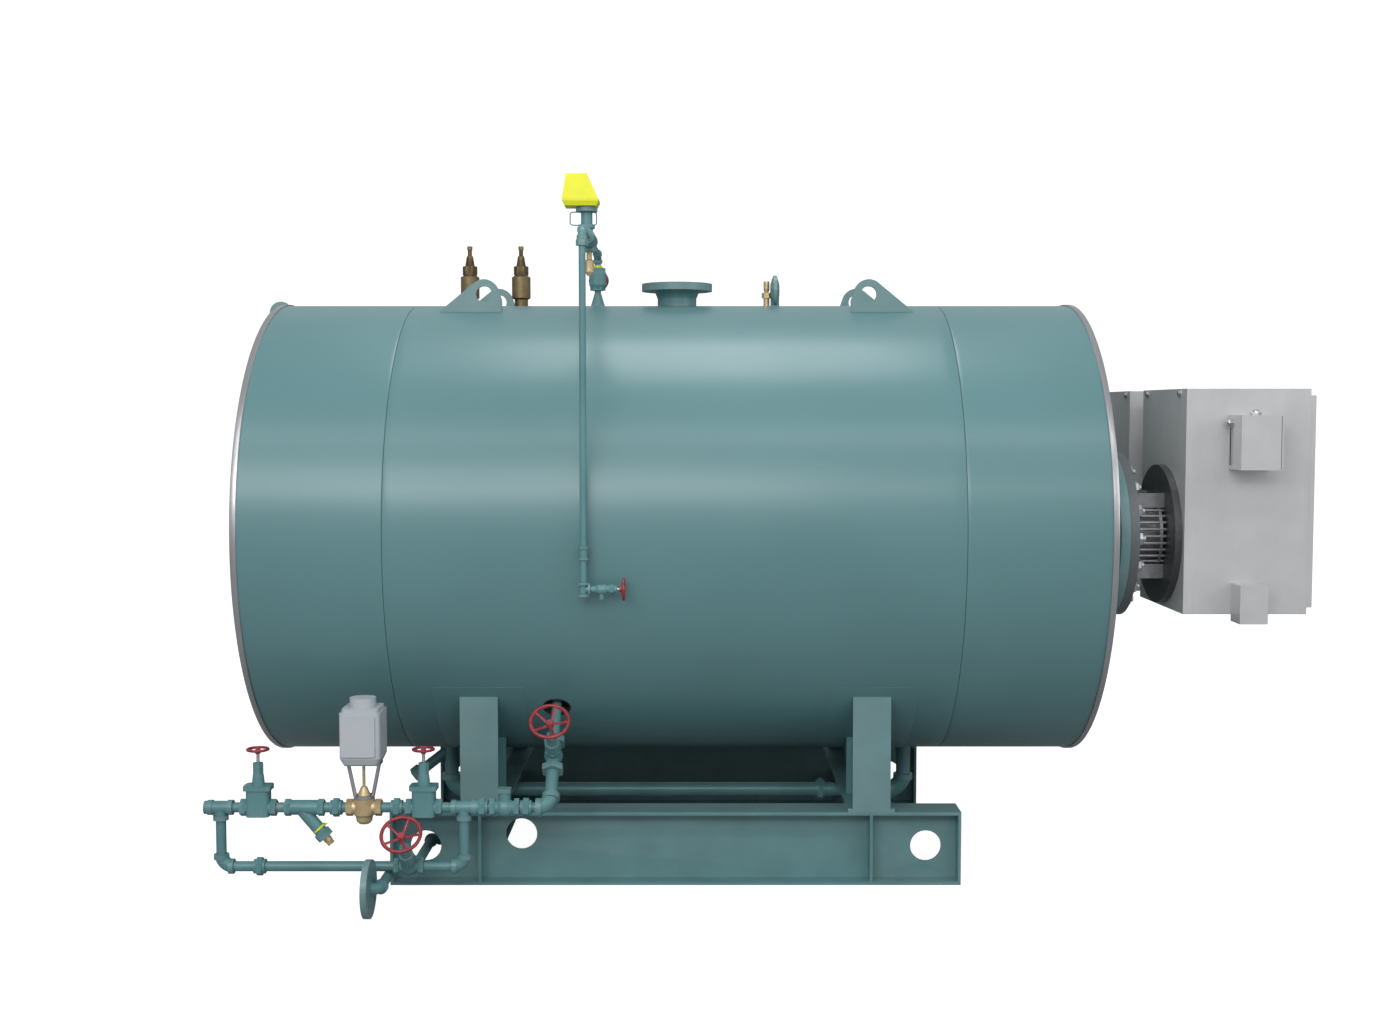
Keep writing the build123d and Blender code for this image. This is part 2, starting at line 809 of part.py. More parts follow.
def cross_member(x):
    reach = beam_y - beam_web / 2 - seat_gap
    low = beam_flange_thickness + seat_gap
    high = low + cross_height
    web = block((x - cross_width / 2, -reach, low), (x - cross_width / 2 + cross_web, reach, high))
    web += block((x - cross_width / 2, -reach, low), (x + cross_width / 2, reach, low + cross_flange))
    return web + block((x - cross_width / 2, -reach, high - cross_flange), (x + cross_width / 2, reach, high))


def saddle(side):
    x = side * saddle_x
    low = beam_height
    foot_top = low + saddle_foot_thickness
    shape = block((x - saddle_foot_width / 2, -saddle_y, low), (x + saddle_foot_width / 2, saddle_y, foot_top))
    high = axis_height
    shape += block((x - saddle_plate / 2, -saddle_y, foot_top), (x + saddle_plate / 2, saddle_y, high))
    for y_side in (-1, 1):
        for y in (saddle_y - saddle_plate / 2, saddle_rib_y):
            middle = y_side * y
            shape += block((x - saddle_width / 2, middle - saddle_plate / 2, foot_top),
                           (x + saddle_width / 2, middle + saddle_plate / 2, high))
    return off_jacket(shape)


# Centre line of the feed run at a given X.
def feed_point(x, height=feed_height):
    return Vector(x, feed_y, height)


def feed_elbow(corner, first, second):
    return elbow(corner, first, second, feed_reach, feed_body_radius, feed_band_radius, feed_band_width)


def feed_tee(centre, branch):
    return tee(centre, right, branch, feed_reach, feed_body_radius, feed_band_radius, feed_band_width)


def stop_point(distance):
    return Vector(feed_right, 0, axis_height) + slant * (jacket_radius + distance)


# The feed pipe is cut where a valve or strainer stands in it.
def feed_pipe():
    corner = feed_point(feed_right)
    nozzle_out = -slant
    stop_end = stop_point(stop_distance + stop_half_length + seat_gap)
    gaps = [(x - gate_half_length, x + gate_half_length) for x in gate_xs]
    gaps += [(strainer_x - strainer_half_length, strainer_x + strainer_half_length)]
    gaps += [(control_x - control_half_length, control_x + control_half_length)]
    gaps += [(check_x - check_half_length, check_x + check_half_length)]
    inside = riser_reach - riser_band_width / 2
    run = bar(feed_point(feed_left + feed_band_width), feed_point(feed_right - inside), feed_pipe_radius)
    run += feed_tee(feed_point(feed_tee_x), down)
    run += feed_tee(feed_point(feed_tee2_x), down)
    run += bar(feed_point(feed_left), feed_point(feed_tee_x), feed_body_radius)
    run -= bar(feed_point(feed_left - overrun), feed_point(feed_left + feed_inlet_depth), feed_inlet_radius)
    for x in union_xs:
        run += union_joint(feed_point(x), right, union_length, union_radius, feed_pipe_radius)
    run += elbow(corner, left, nozzle_out, riser_reach, riser_elbow_radius, riser_band_radius, riser_band_width)
    run += bar(corner + nozzle_out * inside, stop_end, riser_radius)
    reach = 2 * union_radius
    for low, high in gaps:
        run -= block((low - seat_gap, feed_y - reach, feed_height - reach),
                     (high + seat_gap, feed_y + reach, feed_height + reach))
    return run


def bypass_pipe():
    low_left = feed_point(feed_tee_x, bypass_height)
    low_right = feed_point(feed_tee2_x, bypass_height)
    top_drop = feed_height - feed_reach - seat_gap
    inside = feed_reach - feed_band_width / 2
    run = bar(feed_point(feed_tee_x, top_drop), low_left + up * inside, feed_pipe_radius)
    run += feed_elbow(low_left, up, right)
    run += bar(low_left + right * inside, low_right + left * inside, feed_pipe_radius)
    run += union_joint(feed_point(bypass_union_x, bypass_height), right, union_length, union_radius,
                       feed_pipe_radius)
    run += feed_elbow(low_right, left, up)
    run += bar(low_right + up * inside, feed_point(feed_tee2_x, top_drop), feed_pipe_radius)
    cut_low = bypass_globe_x - globe_half_length - seat_gap
    cut_high = bypass_globe_x + globe_half_length + seat_gap
    reach = 2 * union_radius
    run -= block((cut_low, feed_y - reach, bypass_height - reach),
                 (cut_high, feed_y + reach, bypass_height + reach))
    return run


# An upright rounded block on a pipe's centre line.
def rounded_case(centre, width, depth, low, high, edge):
    outline = RectangleRounded(width, depth, edge)
    return Pos(centre.X, centre.Y, centre.Z + low) * extrude(outline, high - low)


def gate_valve(x):
    centre = feed_point(x)
    body = bar(centre + left * gate_half_length, centre + right * gate_half_length, gate_barrel_radius)
    for way in (left, right):
        body += hexagon(centre + way * gate_half_length, -way, gate_mouth_radius, gate_mouth_length)
    body += rounded_case(centre, gate_case_width, gate_case_depth, -gate_case_drop, gate_flange_low,
                         gate_case_round)
    flange_top = gate_flange_low + gate_flange_thickness
    body += rounded_case(centre, gate_flange_width, gate_flange_depth, gate_flange_low, flange_top,
                         gate_flange_round)
    body += turned(centre, up, [(flange_top, gate_bonnet_radius), (gate_bonnet_height, gate_bonnet_top_radius)])
    body += hexagon(centre + up * gate_bonnet_height, up, gate_gland_radius,
                    gate_gland_height - gate_bonnet_height)
    return body + bar(centre + up * gate_gland_height, centre + up * (gate_wheel_height + hub_height / 2),
                      stem_radius)


def bypass_valve():
    sizes = (globe_half_length, globe_mouth_radius, globe_body_radius, globe_bonnet_radius, globe_bonnet_height,
             globe_gland_radius, globe_gland_height, globe_wheel_height)
    return valve_body(feed_point(bypass_globe_x, bypass_height), right, slant_up, sizes)


def feed_stop_valve():
    sizes = (stop_half_length, stop_mouth_radius, stop_body_radius, stop_bonnet_radius, globe_bonnet_height,
             globe_gland_radius, globe_gland_height, globe_wheel_height)
    valve = valve_body(stop_point(stop_distance), slant, slant_up, sizes)
    return valve + bar(stop_point(seat_gap - nozzle_recess_depth), stop_point(stop_distance), feed_pipe_radius)


# The strainer's leg leaves the body left of its middle and slopes down to the right.
def strainer_leg_line():
    angle = math.radians(strainer_tilt)
    return feed_point(strainer_x - strainer_leg_shift), Vector(math.cos(angle), 0, -math.sin(angle))


def strainer():
    centre = feed_point(strainer_x)
    root, leg = strainer_leg_line()
    body = bar(centre + left * strainer_half_length, centre + right * strainer_half_length,
               strainer_barrel_radius)
    for way in (left, right):
        body += hexagon(centre + way * strainer_half_length, -way, strainer_mouth_radius,
                        strainer_mouth_length)
    cap = root + leg * (strainer_leg - strainer_cap_length)
    body += bar(root, cap, strainer_leg_radius)
    return body + hexagon(cap, leg, strainer_cap_radius, strainer_cap_length)


def strainer_plug():
    root, leg = strainer_leg_line()
    start = root + leg * (strainer_leg + seat_gap)
    plug = bar(start, start + leg * strainer_plug_radius, strainer_plug_radius)
    return plug + hexagon(start + leg * strainer_plug_radius, leg, strainer_plug_nut_radius,
                          strainer_plug_radius)


def check_valve():
    centre = feed_point(check_x)
    profile = stations(check_shares, 2 * check_half_length, check_radius)
    body = turned(centre + left * check_half_length, right, profile)
    for way in (left, right):
        body += hexagon(centre + way * check_half_length, -way, check_mouth_radius, check_mouth_length)
    body += bar(centre, centre + up * check_cap_height, check_cap_radius)
    cap = extrude(Rectangle(check_cap_width, check_cap_width), check_cap_thickness)
    return body + Pos(check_x, feed_y, feed_height + check_cap_height) * cap


def control_valve():
    centre = feed_point(control_x)
    height = control_depth + control_body_rise
    body = turned(centre + down * control_depth, up, stations(control_body_shares, height, control_body_radius))
    body += bar(centre + left * control_half_length, centre + right * control_half_length,
                control_barrel_radius)
    for way in (left, right):
        body += hexagon(centre + way * control_half_length, -way, control_mouth_radius, control_mouth_length)
    neck_top = control_body_rise + 2 * seat_gap + yoke_foot_thickness
    body += turned(centre, up, [
        (0, control_neck_radius), (neck_top, control_neck_radius),
        (control_cone_height, control_cone_radius), (control_cone_height, control_stem_radius),
        (actuator_low - yoke_top_thickness - 2 * seat_gap, control_stem_radius)])
    return body


# The yoke stands round the valve's neck and carries the actuator.
def control_yoke():
    low = feed_height + control_body_rise + seat_gap
    top = feed_height + actuator_low - seat_gap
    base = feed_point(control_x, low)
    yoke = bar(base, base + up * yoke_foot_thickness, yoke_foot_radius, control_neck_radius + seat_gap)
    for way in (-1, 1):
        start = Vector(control_x + way * yoke_foot_spread, feed_y, low + yoke_bar_radius)
        end = Vector(control_x + way * yoke_spread, feed_y, top - yoke_bar_radius)
        yoke += bar(start, end, yoke_bar_radius)
    across, deep = yoke_top_width / 2, yoke_top_depth / 2
    return yoke + block((control_x - across, feed_y - deep, top - yoke_top_thickness),
                        (control_x + across, feed_y + deep, top))


# A housing with a drawn-in foot, a stepped lid, a round cap and a raised panel on its front.
def actuator():
    low = feed_height + actuator_low
    high = feed_height + actuator_high
    waist = low + actuator_foot_height
    wide = RectangleRounded(actuator_width, actuator_depth, actuator_round)
    narrow = RectangleRounded(actuator_width * actuator_foot_share, actuator_depth * actuator_foot_share,
                              actuator_round * actuator_foot_share)
    lid = RectangleRounded(actuator_width * actuator_lid_share, actuator_depth * actuator_lid_share,
                           actuator_round)
    housing = Pos(control_x, feed_y, waist) * extrude(wide, high - waist)
    foot, ledge = Pos(control_x, feed_y, low) * narrow, Pos(control_x, feed_y, waist) * wide
    housing += loft([foot.face(), ledge.face()])
    housing += Pos(control_x, feed_y, high) * extrude(lid, actuator_lid_height)
    cap_low = high + actuator_lid_height
    housing += bar(feed_point(control_x, cap_low), feed_point(control_x, cap_low + actuator_cap_height),
                   actuator_cap_radius)
    panel = RectangleRounded(actuator_panel_width, high - waist - 2 * actuator_panel_margin, actuator_panel_round)
    front_y = feed_y - actuator_depth / 2
    spot = Plane(origin=(control_x - actuator_panel_shift, front_y, (high + waist) / 2), x_dir=(1, 0, 0),
                 z_dir=(0, -1, 0))
    return housing + spot * extrude(panel, actuator_panel_rise)


# The header joins the two drains, with a capped branch on the left one and a tee behind the left saddle.
def blowdown_header():
    corner = Vector(drain_x, 0, header_height)
    far = Vector(-drain_x, 0, header_height)
    branch = Vector(outlet_tee_x, 0, header_height)
    top = axis_height - jacket_radius + overrun
    bands = (drain_reach, drain_elbow_radius, drain_band_radius, drain_band_width)
    inside = drain_reach - drain_band_width / 2
    run = bar(corner + left * inside, far + right * inside, drain_pipe_radius)
    run += elbow(corner, up, left, *bands)
    run += elbow(far, up, right, *bands)
    for place in (corner, far):
        run += off_jacket(bar(place + up * inside, Vector(place.X, 0, top), drain_pipe_radius))
    root = far + up * drain_branch_height
    tip = root + left * drain_branch_reach_x + down * drain_branch_reach_z
    run += bar(root, tip, drain_branch_radius)
    run += hexagon(tip, root - tip, drain_branch_cap_radius, drain_branch_cap_length)
    run += bar(branch + left * drain_reach, branch + right * drain_reach, drain_elbow_radius)
    for way in (left, right):
        run += bar(branch + way * (drain_reach - drain_band_width), branch + way * drain_reach, drain_band_radius)
    mouth = branch + down * outlet_branch_reach
    run += bar(branch, mouth, outlet_branch_radius)
    run += bar(mouth, mouth + up * outlet_band_width, outlet_band_radius)
    return run + union_joint(Vector(coupling_x, 0, header_height), right, coupling_length, coupling_radius,
                             drain_pipe_radius)


# The outlet drops from the tee, passes the web hole, turns under the bypass line and ends in a flange.
def blowdown_outlet():
    height = outlet_height
    corners = [Vector(outlet_tee_x, 0, header_height - outlet_branch_reach - seat_gap),
               Vector(outlet_tee_x, 0, height), Vector(outlet_tee_x, outlet_back_y, height),
               Vector(outlet_cross_x, outlet_back_y, height), Vector(outlet_cross_x, outlet_turn_y, height),
               Vector(outlet_side_x, outlet_turn_y, height), Vector(outlet_side_x, outlet_y, height)]
    corners.append(corners[-1] + left * (outlet_reach + outlet_flange_thickness - outlet_flange_lap))
    bands = (outlet_reach, outlet_elbow_radius, outlet_band_radius, outlet_band_width)
    inside = outlet_reach - outlet_band_width / 2
    run = bar(corners[0], corners[1] + up * inside, outlet_pipe_radius)
    for before, place, after in zip(corners, corners[1:], corners[2:]):
        come, go = (before - place).normalized(), (after - place).normalized()
        run += elbow(place, come, go, *bands)
        if after is not corners[-1]:
            run += bar(place + go * inside, after - go * inside, outlet_pipe_radius)
    face = corners[-1]
    run += bar(face, face + right * outlet_flange_thickness, outlet_flange_radius)
    run -= bar(face + left * overrun, face + right * outlet_flange_thickness, outlet_bore_radius)
    plane = Plane(origin=face, z_dir=right)
    for spot in PolarLocations(outlet_bolt_circle / 2, outlet_bolt_count, start_angle=outlet_bolt_start):
        run -= plane * spot * Cylinder(outlet_bolt_hole_radius, 2 * outlet_flange_thickness + overrun)
    return run


def heater_centre(side, x):
    return Vector(x, side * heater_y, axis_height)


def heater_flange(side, vessel):
    x = vessel_flange_x if vessel else vessel_flange_x + flange_thickness + seat_gap
    start = heater_centre(side, x)
    end = heater_centre(side, x + flange_thickness)
    shape = bar(start, end, flange_radius)
    if vessel:
        return shape + bar(heater_centre(side, jacket_end + seat_gap), end, vessel_neck_radius)
    shape += bar(end, end + right * heater_hub_height, heater_hub_radius)
    circle = Plane(origin=end, z_dir=(1, 0, 0))
    for spot in PolarLocations(flange_bolt_circle / 2, flange_bolt_count):
        shape += circle * spot * extrude(RegularPolygon(bolt_head_radius, 6), bolt_head_height)
    return shape


# The element sheaths between flange and cabinet, held by a support ring.
def standoff(side):
    plane = Plane(origin=heater_centre(side, standoff_start), z_dir=(1, 0, 0))
    rod = extrude(Circle(rod_radius), rods_end - standoff_start)
    ring_start = heater_centre(side, support_ring_x)
    shape = bar(ring_start, ring_start + right * support_ring_thickness, support_ring_radius)
    shape += bar(heater_centre(side, standoff_start), heater_centre(side, rods_end), core_radius)
    for spot in PolarLocations(rod_circle_radius, rod_count):
        shape += plane * spot * rod
    return shape


# Four flat bars round the sheaths carry the cabinet on the flange.
def standoff_straps(side):
    parts = []
    for way_y in (-1, 1):
        for way_z in (-1, 1):
            y = side * heater_y + way_y * strap_offset
            low, high = sorted((way_z * strap_low, way_z * (strap_low + strap_height)))
            parts.append(block((standoff_start, y - strap_thickness / 2, axis_height + low),
                               (rods_end, y + strap_thickness / 2, axis_height + high)))
    return parts


def cabinet(side):
    near, far = sorted((side * cabinet_near, side * cabinet_far))
    body = block((cabinet_left, near, axis_height - cabinet_drop),
                 (cabinet_left + cabinet_width, far, axis_height + cabinet_rise))
    return chamfer(body.edges().filter_by(Axis.X), cabinet_edge)


def cabinet_disc(side):
    return bar(heater_centre(side, standoff_end), heater_centre(side, cabinet_left - seat_gap), disc_radius)


def cabinet_door(side):
    near, far = sorted((side * cabinet_near, side * cabinet_far))
    x = cabinet_left + cabinet_width + seat_gap
    body = block((x, near + door_edge, axis_height - cabinet_drop + door_margin_low),
                 (x + door_thickness, far - door_edge, axis_height + cabinet_rise - door_margin_high))
    return chamfer(body.edges().group_by(Axis.X)[-1], door_bevel)


def front_box(side, left_x, right_x, low, high, depth):
    near, far = sorted((side * (cabinet_near + seat_gap), side * (cabinet_near + depth)))
    return block((left_x, near, axis_height + low), (right_x, far, axis_height + high))


def upper_box(side):
    return front_box(side, upper_box_left, upper_box_right, upper_box_low, upper_box_high, upper_box_depth)


def lower_box(side):
    return front_box(side, lower_box_left, lower_box_right, lower_box_low, lower_box_high, lower_box_depth)


def small_wheel(centre, stem):
    return handwheel(centre, stem, small_wheel_radius, small_rim_radius, small_wheel_dish, small_spoke_count,
                     small_hub_radius)


def large_wheel(centre, stem):
    return handwheel(centre, stem, large_wheel_radius, large_rim_radius, large_wheel_dish, large_spoke_count,
                     large_hub_radius)


nodes = {
    "jacket_left": [jacket(-jacket_end, -jacket_seam - seat_gap)],
    "jacket_centre": [jacket_centre()],
    "jacket_right": [jacket(jacket_seam + seat_gap, jacket_end)],
    "left_end_cover": [end_cover(-1)],
    "right_end_cover": [end_cover(1)],
    "trim_rings": [trim_ring(side) for side in (-1, 1)],
    "end_lifting_eye": [end_lifting_eye()],
    "steam_nozzle": [steam_nozzle()],
    "lifting_lugs": [lifting_lug(side_x, side_y) for side_x in (-1, 1) for side_y in (-1, 1)],
    "safety_valves": [safety_valve(x) for x in safety_xs],
    "vent_fitting": [vent_fitting()],
    "vent_cock": [vent_cock()],
    "column_top_valve": [column_top_valve()],
    "column_top_wheel": [small_wheel(column_top_wheel_centre(), back)],
    "column_run": [column_run()],
    "column_air_vent": [air_vent()],
    "probe_head": [probe_head()],
    "column_tube": [column_tube()],
    "column_drain_valve": [column_drain_valve()],
    "column_drain_wheel": [small_wheel(column_drain_wheel_centre(), right)],
    "base_beam_front": [front_beam()],
    "base_beam_rear": [beam(1)],
    "base_cross_members": [cross_member(-saddle_x), cross_member(saddle_x)],
    "saddle_left": [saddle(-1)],
    "saddle_right": [saddle(1)],
    "feed_pipe": [feed_pipe()],
    "gate_valve_left": [gate_valve(gate_xs[0])],
    "gate_wheel_left": [small_wheel(feed_point(gate_xs[0], feed_height + gate_wheel_height), up)],
    "gate_valve_right": [gate_valve(gate_xs[1])],
    "gate_wheel_right": [small_wheel(feed_point(gate_xs[1], feed_height + gate_wheel_height), up)],
    "y_strainer": [strainer()],
    "strainer_plug": [strainer_plug()],
    "check_valve": [check_valve()],
    "control_valve": [control_valve()],
    "control_yoke": [control_yoke()],
    "actuator": [actuator()],
    "bypass_pipe": [bypass_pipe()],
    "bypass_valve": [bypass_valve()],
    "bypass_wheel": [large_wheel(feed_point(bypass_globe_x, bypass_height) + slant_up * globe_wheel_height,
                                 slant_up)],
    "feed_stop_valve": [feed_stop_valve()],
    "feed_stop_wheel": [large_wheel(stop_point(stop_distance) + slant_up * globe_wheel_height, slant_up)],
    "blowdown_header": [blowdown_header()],
    "blowdown_outlet": [blowdown_outlet()],
    "vessel_flanges": [heater_flange(side, True) for side in (-1, 1)],
    "heater_flanges": [heater_flange(side, False) for side in (-1, 1)],
    "element_standoffs": [standoff(side) for side in (-1, 1)],
    "standoff_straps": [strap for side in (-1, 1) for strap in standoff_straps(side)],
    "cabinet_discs": [cabinet_disc(side) for side in (-1, 1)],
    "terminal_cabinets": [cabinet(side) for side in (-1, 1)],
    "cabinet_doors": [cabinet_door(side) for side in (-1, 1)],
    "cabinet_boxes": [box for side in (-1, 1) for box in (upper_box(side), lower_box(side))],
}

os.makedirs("parts", exist_ok=True)
for name, shapes in nodes.items():
    solids = [solid for shape in shapes for solid in shape.solids()]
    export_step(solids[0] if len(solids) == 1 else Compound(children=solids), f"parts/{name}.step")
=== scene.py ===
import json
import math

import bmesh
import bpy
import numpy as np
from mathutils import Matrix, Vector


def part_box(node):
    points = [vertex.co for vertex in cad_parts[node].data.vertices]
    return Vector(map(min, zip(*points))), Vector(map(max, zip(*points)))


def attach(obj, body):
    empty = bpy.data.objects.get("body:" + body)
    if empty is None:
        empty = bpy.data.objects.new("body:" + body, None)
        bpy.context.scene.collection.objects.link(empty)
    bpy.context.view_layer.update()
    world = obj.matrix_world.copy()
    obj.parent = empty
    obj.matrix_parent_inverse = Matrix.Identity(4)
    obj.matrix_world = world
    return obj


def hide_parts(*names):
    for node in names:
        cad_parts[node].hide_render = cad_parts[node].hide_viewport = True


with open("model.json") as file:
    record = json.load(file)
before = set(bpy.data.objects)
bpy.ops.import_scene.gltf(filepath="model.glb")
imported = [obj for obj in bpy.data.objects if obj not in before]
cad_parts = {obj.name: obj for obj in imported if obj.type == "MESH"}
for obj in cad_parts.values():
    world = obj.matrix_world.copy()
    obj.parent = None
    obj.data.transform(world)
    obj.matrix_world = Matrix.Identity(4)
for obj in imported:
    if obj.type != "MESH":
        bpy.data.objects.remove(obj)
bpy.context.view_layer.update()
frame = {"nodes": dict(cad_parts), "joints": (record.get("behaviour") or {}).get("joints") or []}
cadNodes = frame["nodes"]
mainBody = "boiler"
mm = 0.001


# Camera and light, in metres, degrees and watts

cameraSet = {
    "place": (0.0494, -4.9056, 1.3039),  # from the drum's own perspective in the photograph
    "downDegrees": 3.658,
    "lens": 42.23,
    "sensor": 36.0,
    "clipEnd": 200,
}

lightSet = {
    "top": {"place": (0.1, 0.2, 5.8), "turn": (2, 0, 0), "size": (2.3, 2.4), "power": 70},
    "front": {"place": (-1.6, -6.6, 3.9), "turn": (62, 0, -14), "size": (5.0, 2.2), "power": 142},
    "right": {"place": (5.6, -3.8, 2.8), "turn": (70, 0, 56), "size": (3.0, 2.4), "power": 45},
    "highStrip": {"place": (0.0, -3.7, 4.9), "turn": (43, 0, 0), "size": (8.0, 0.55), "power": 50},
    "lowStrip": {"place": (0.0, -6.2, 3.4), "turn": (69, 0, 0), "size": (8.0, 0.5), "power": 45},
}

worldSet = {
    "sky": (0.94, 0.97, 1.0),
    "skyStrength": 0.5,
    "backdrop": (1.0, 1.0, 1.0),  # what the camera alone sees behind the boiler
    "backdropStrength": 1.05,
}


def addCamera():
    data = bpy.data.cameras.new("viewCamera")
    data.lens = cameraSet["lens"]
    data.sensor_width = cameraSet["sensor"]
    data.sensor_fit = "HORIZONTAL"
    data.clip_end = cameraSet["clipEnd"]
    view = bpy.data.objects.new("viewCamera", data)
    view.location = cameraSet["place"]
    view.rotation_euler = (math.radians(90 - cameraSet["downDegrees"]), 0, 0)
    bpy.context.scene.collection.objects.link(view)
    bpy.context.scene.camera = view


def addLights():
    for name, item in lightSet.items():
        data = bpy.data.lights.new(name + "Light", "AREA")
        data.shape = "RECTANGLE"
        data.size, data.size_y = item["size"]
        data.energy = item["power"]
        lamp = bpy.data.objects.new(name + "Light", data)
        lamp.location = item["place"]
        lamp.rotation_euler = tuple(math.radians(a) for a in item["turn"])
        bpy.context.scene.collection.objects.link(lamp)


def addWorld():
    world = bpy.data.worlds.new("studio")
    world.use_nodes = True
    nodes, links = world.node_tree.nodes, world.node_tree.links
    sky, backdrop = nodes["Background"], nodes.new("ShaderNodeBackground")
    for node, name in ((sky, "sky"), (backdrop, "backdrop")):
        node.inputs["Color"].default_value = (*worldSet[name], 1)
        node.inputs["Strength"].default_value = worldSet[name + "Strength"]
    ray, mixed = nodes.new("ShaderNodeLightPath"), nodes.new("ShaderNodeMixShader")
    links.new(ray.outputs["Is Camera Ray"], mixed.inputs[0])
    links.new(sky.outputs[0], mixed.inputs[1])
    links.new(backdrop.outputs[0], mixed.inputs[2])
    links.new(mixed.outputs[0], nodes["World Output"].inputs[0])
    bpy.context.scene.world = world
    bpy.context.scene.view_settings.view_transform = "Standard"


addCamera()
addLights()
addWorld()
print("stage: camera and lights")


# Shader maths: a wire wraps one socket, and an expression on wires adds Math nodes

class Wire:
    def __init__(self, tree, socket):
        self.tree, self.socket = tree, socket

    def combine(self, operation, first, second):
        return self.tree.node("ShaderNodeMath", {"operation": operation}, {0: first, 1: second})

    def __add__(self, other): return self.combine("ADD", self, other)
    def __radd__(self, other): return self.combine("ADD", other, self)
    def __mul__(self, other): return self.combine("MULTIPLY", self, other)


class ShaderTree:
    def __init__(self, material):
        material.use_nodes = True
        self.tree = material.node_tree
        self.tree.nodes.clear()
        self.shader = self.tree.nodes.new("ShaderNodeBsdfPrincipled")
        output = self.tree.nodes.new("ShaderNodeOutputMaterial")
        self.tree.links.new(self.shader.outputs[0], output.inputs[0])

    # One node of any type: its settings first, then the values or links of its sockets.
    def node(self, kind, settings=None, inputs=None, output=0):
        made = self.tree.nodes.new(kind)
        for key, value in (settings or {}).items():
            setattr(made, key, value)
        for key, value in (inputs or {}).items():
            self.feed(made.inputs[key], value)
        return Wire(self, made.outputs[output])

    def feed(self, socket, value):
        if isinstance(value, Wire):
            self.tree.links.new(value.socket, socket)
        else:
            socket.default_value = value

    def surface(self, **values):
        for key, value in values.items():
            self.feed(self.shader.inputs[key.replace("_", " ")], value)

    def noise(self, scale, detail=3.0, rough=0.5, stretch=None):
        where = self.node("ShaderNodeTexCoord", output="Object")
        if stretch:
            where = self.node("ShaderNodeMapping", {}, {"Vector": where, "Scale": stretch})
        values = {"Vector": where, "Scale": scale, "Detail": detail, "Roughness": rough}
        return self.node("ShaderNodeTexNoise", {}, values)

    # Stretches a value range to 0..1.
    def span(self, value, low, high):
        return self.node("ShaderNodeMapRange", {}, {"Value": value, "From Min": low, "From Max": high})

    def blend(self, share, first, second):
        first, second = ((*c, 1) if isinstance(c, tuple) else c for c in (first, second))
        return self.node("ShaderNodeMix", {"data_type": "RGBA"}, {0: share, 6: first, 7: second}, output=2)

    def bump(self, height, strength, distance):
        return self.node("ShaderNodeBump", {}, {"Height": height, "Strength": strength, "Distance": distance})

    # Bright on worn outer edges, dark in corners, from how sharply the surface turns.
    def edges(self):
        return self.node("ShaderNodeNewGeometry", output="Pointiness")


# Finishes. Each goes from its light to its deep colour in clouds, which cloudSpan makes crisper. The fine
# grain is the clouds' own noise where it has no entry. Noise is given as scale, detail and roughness. The
# surface's roughness is rough plus a share of the grain and of the clouds. The worn colour lies on edges.

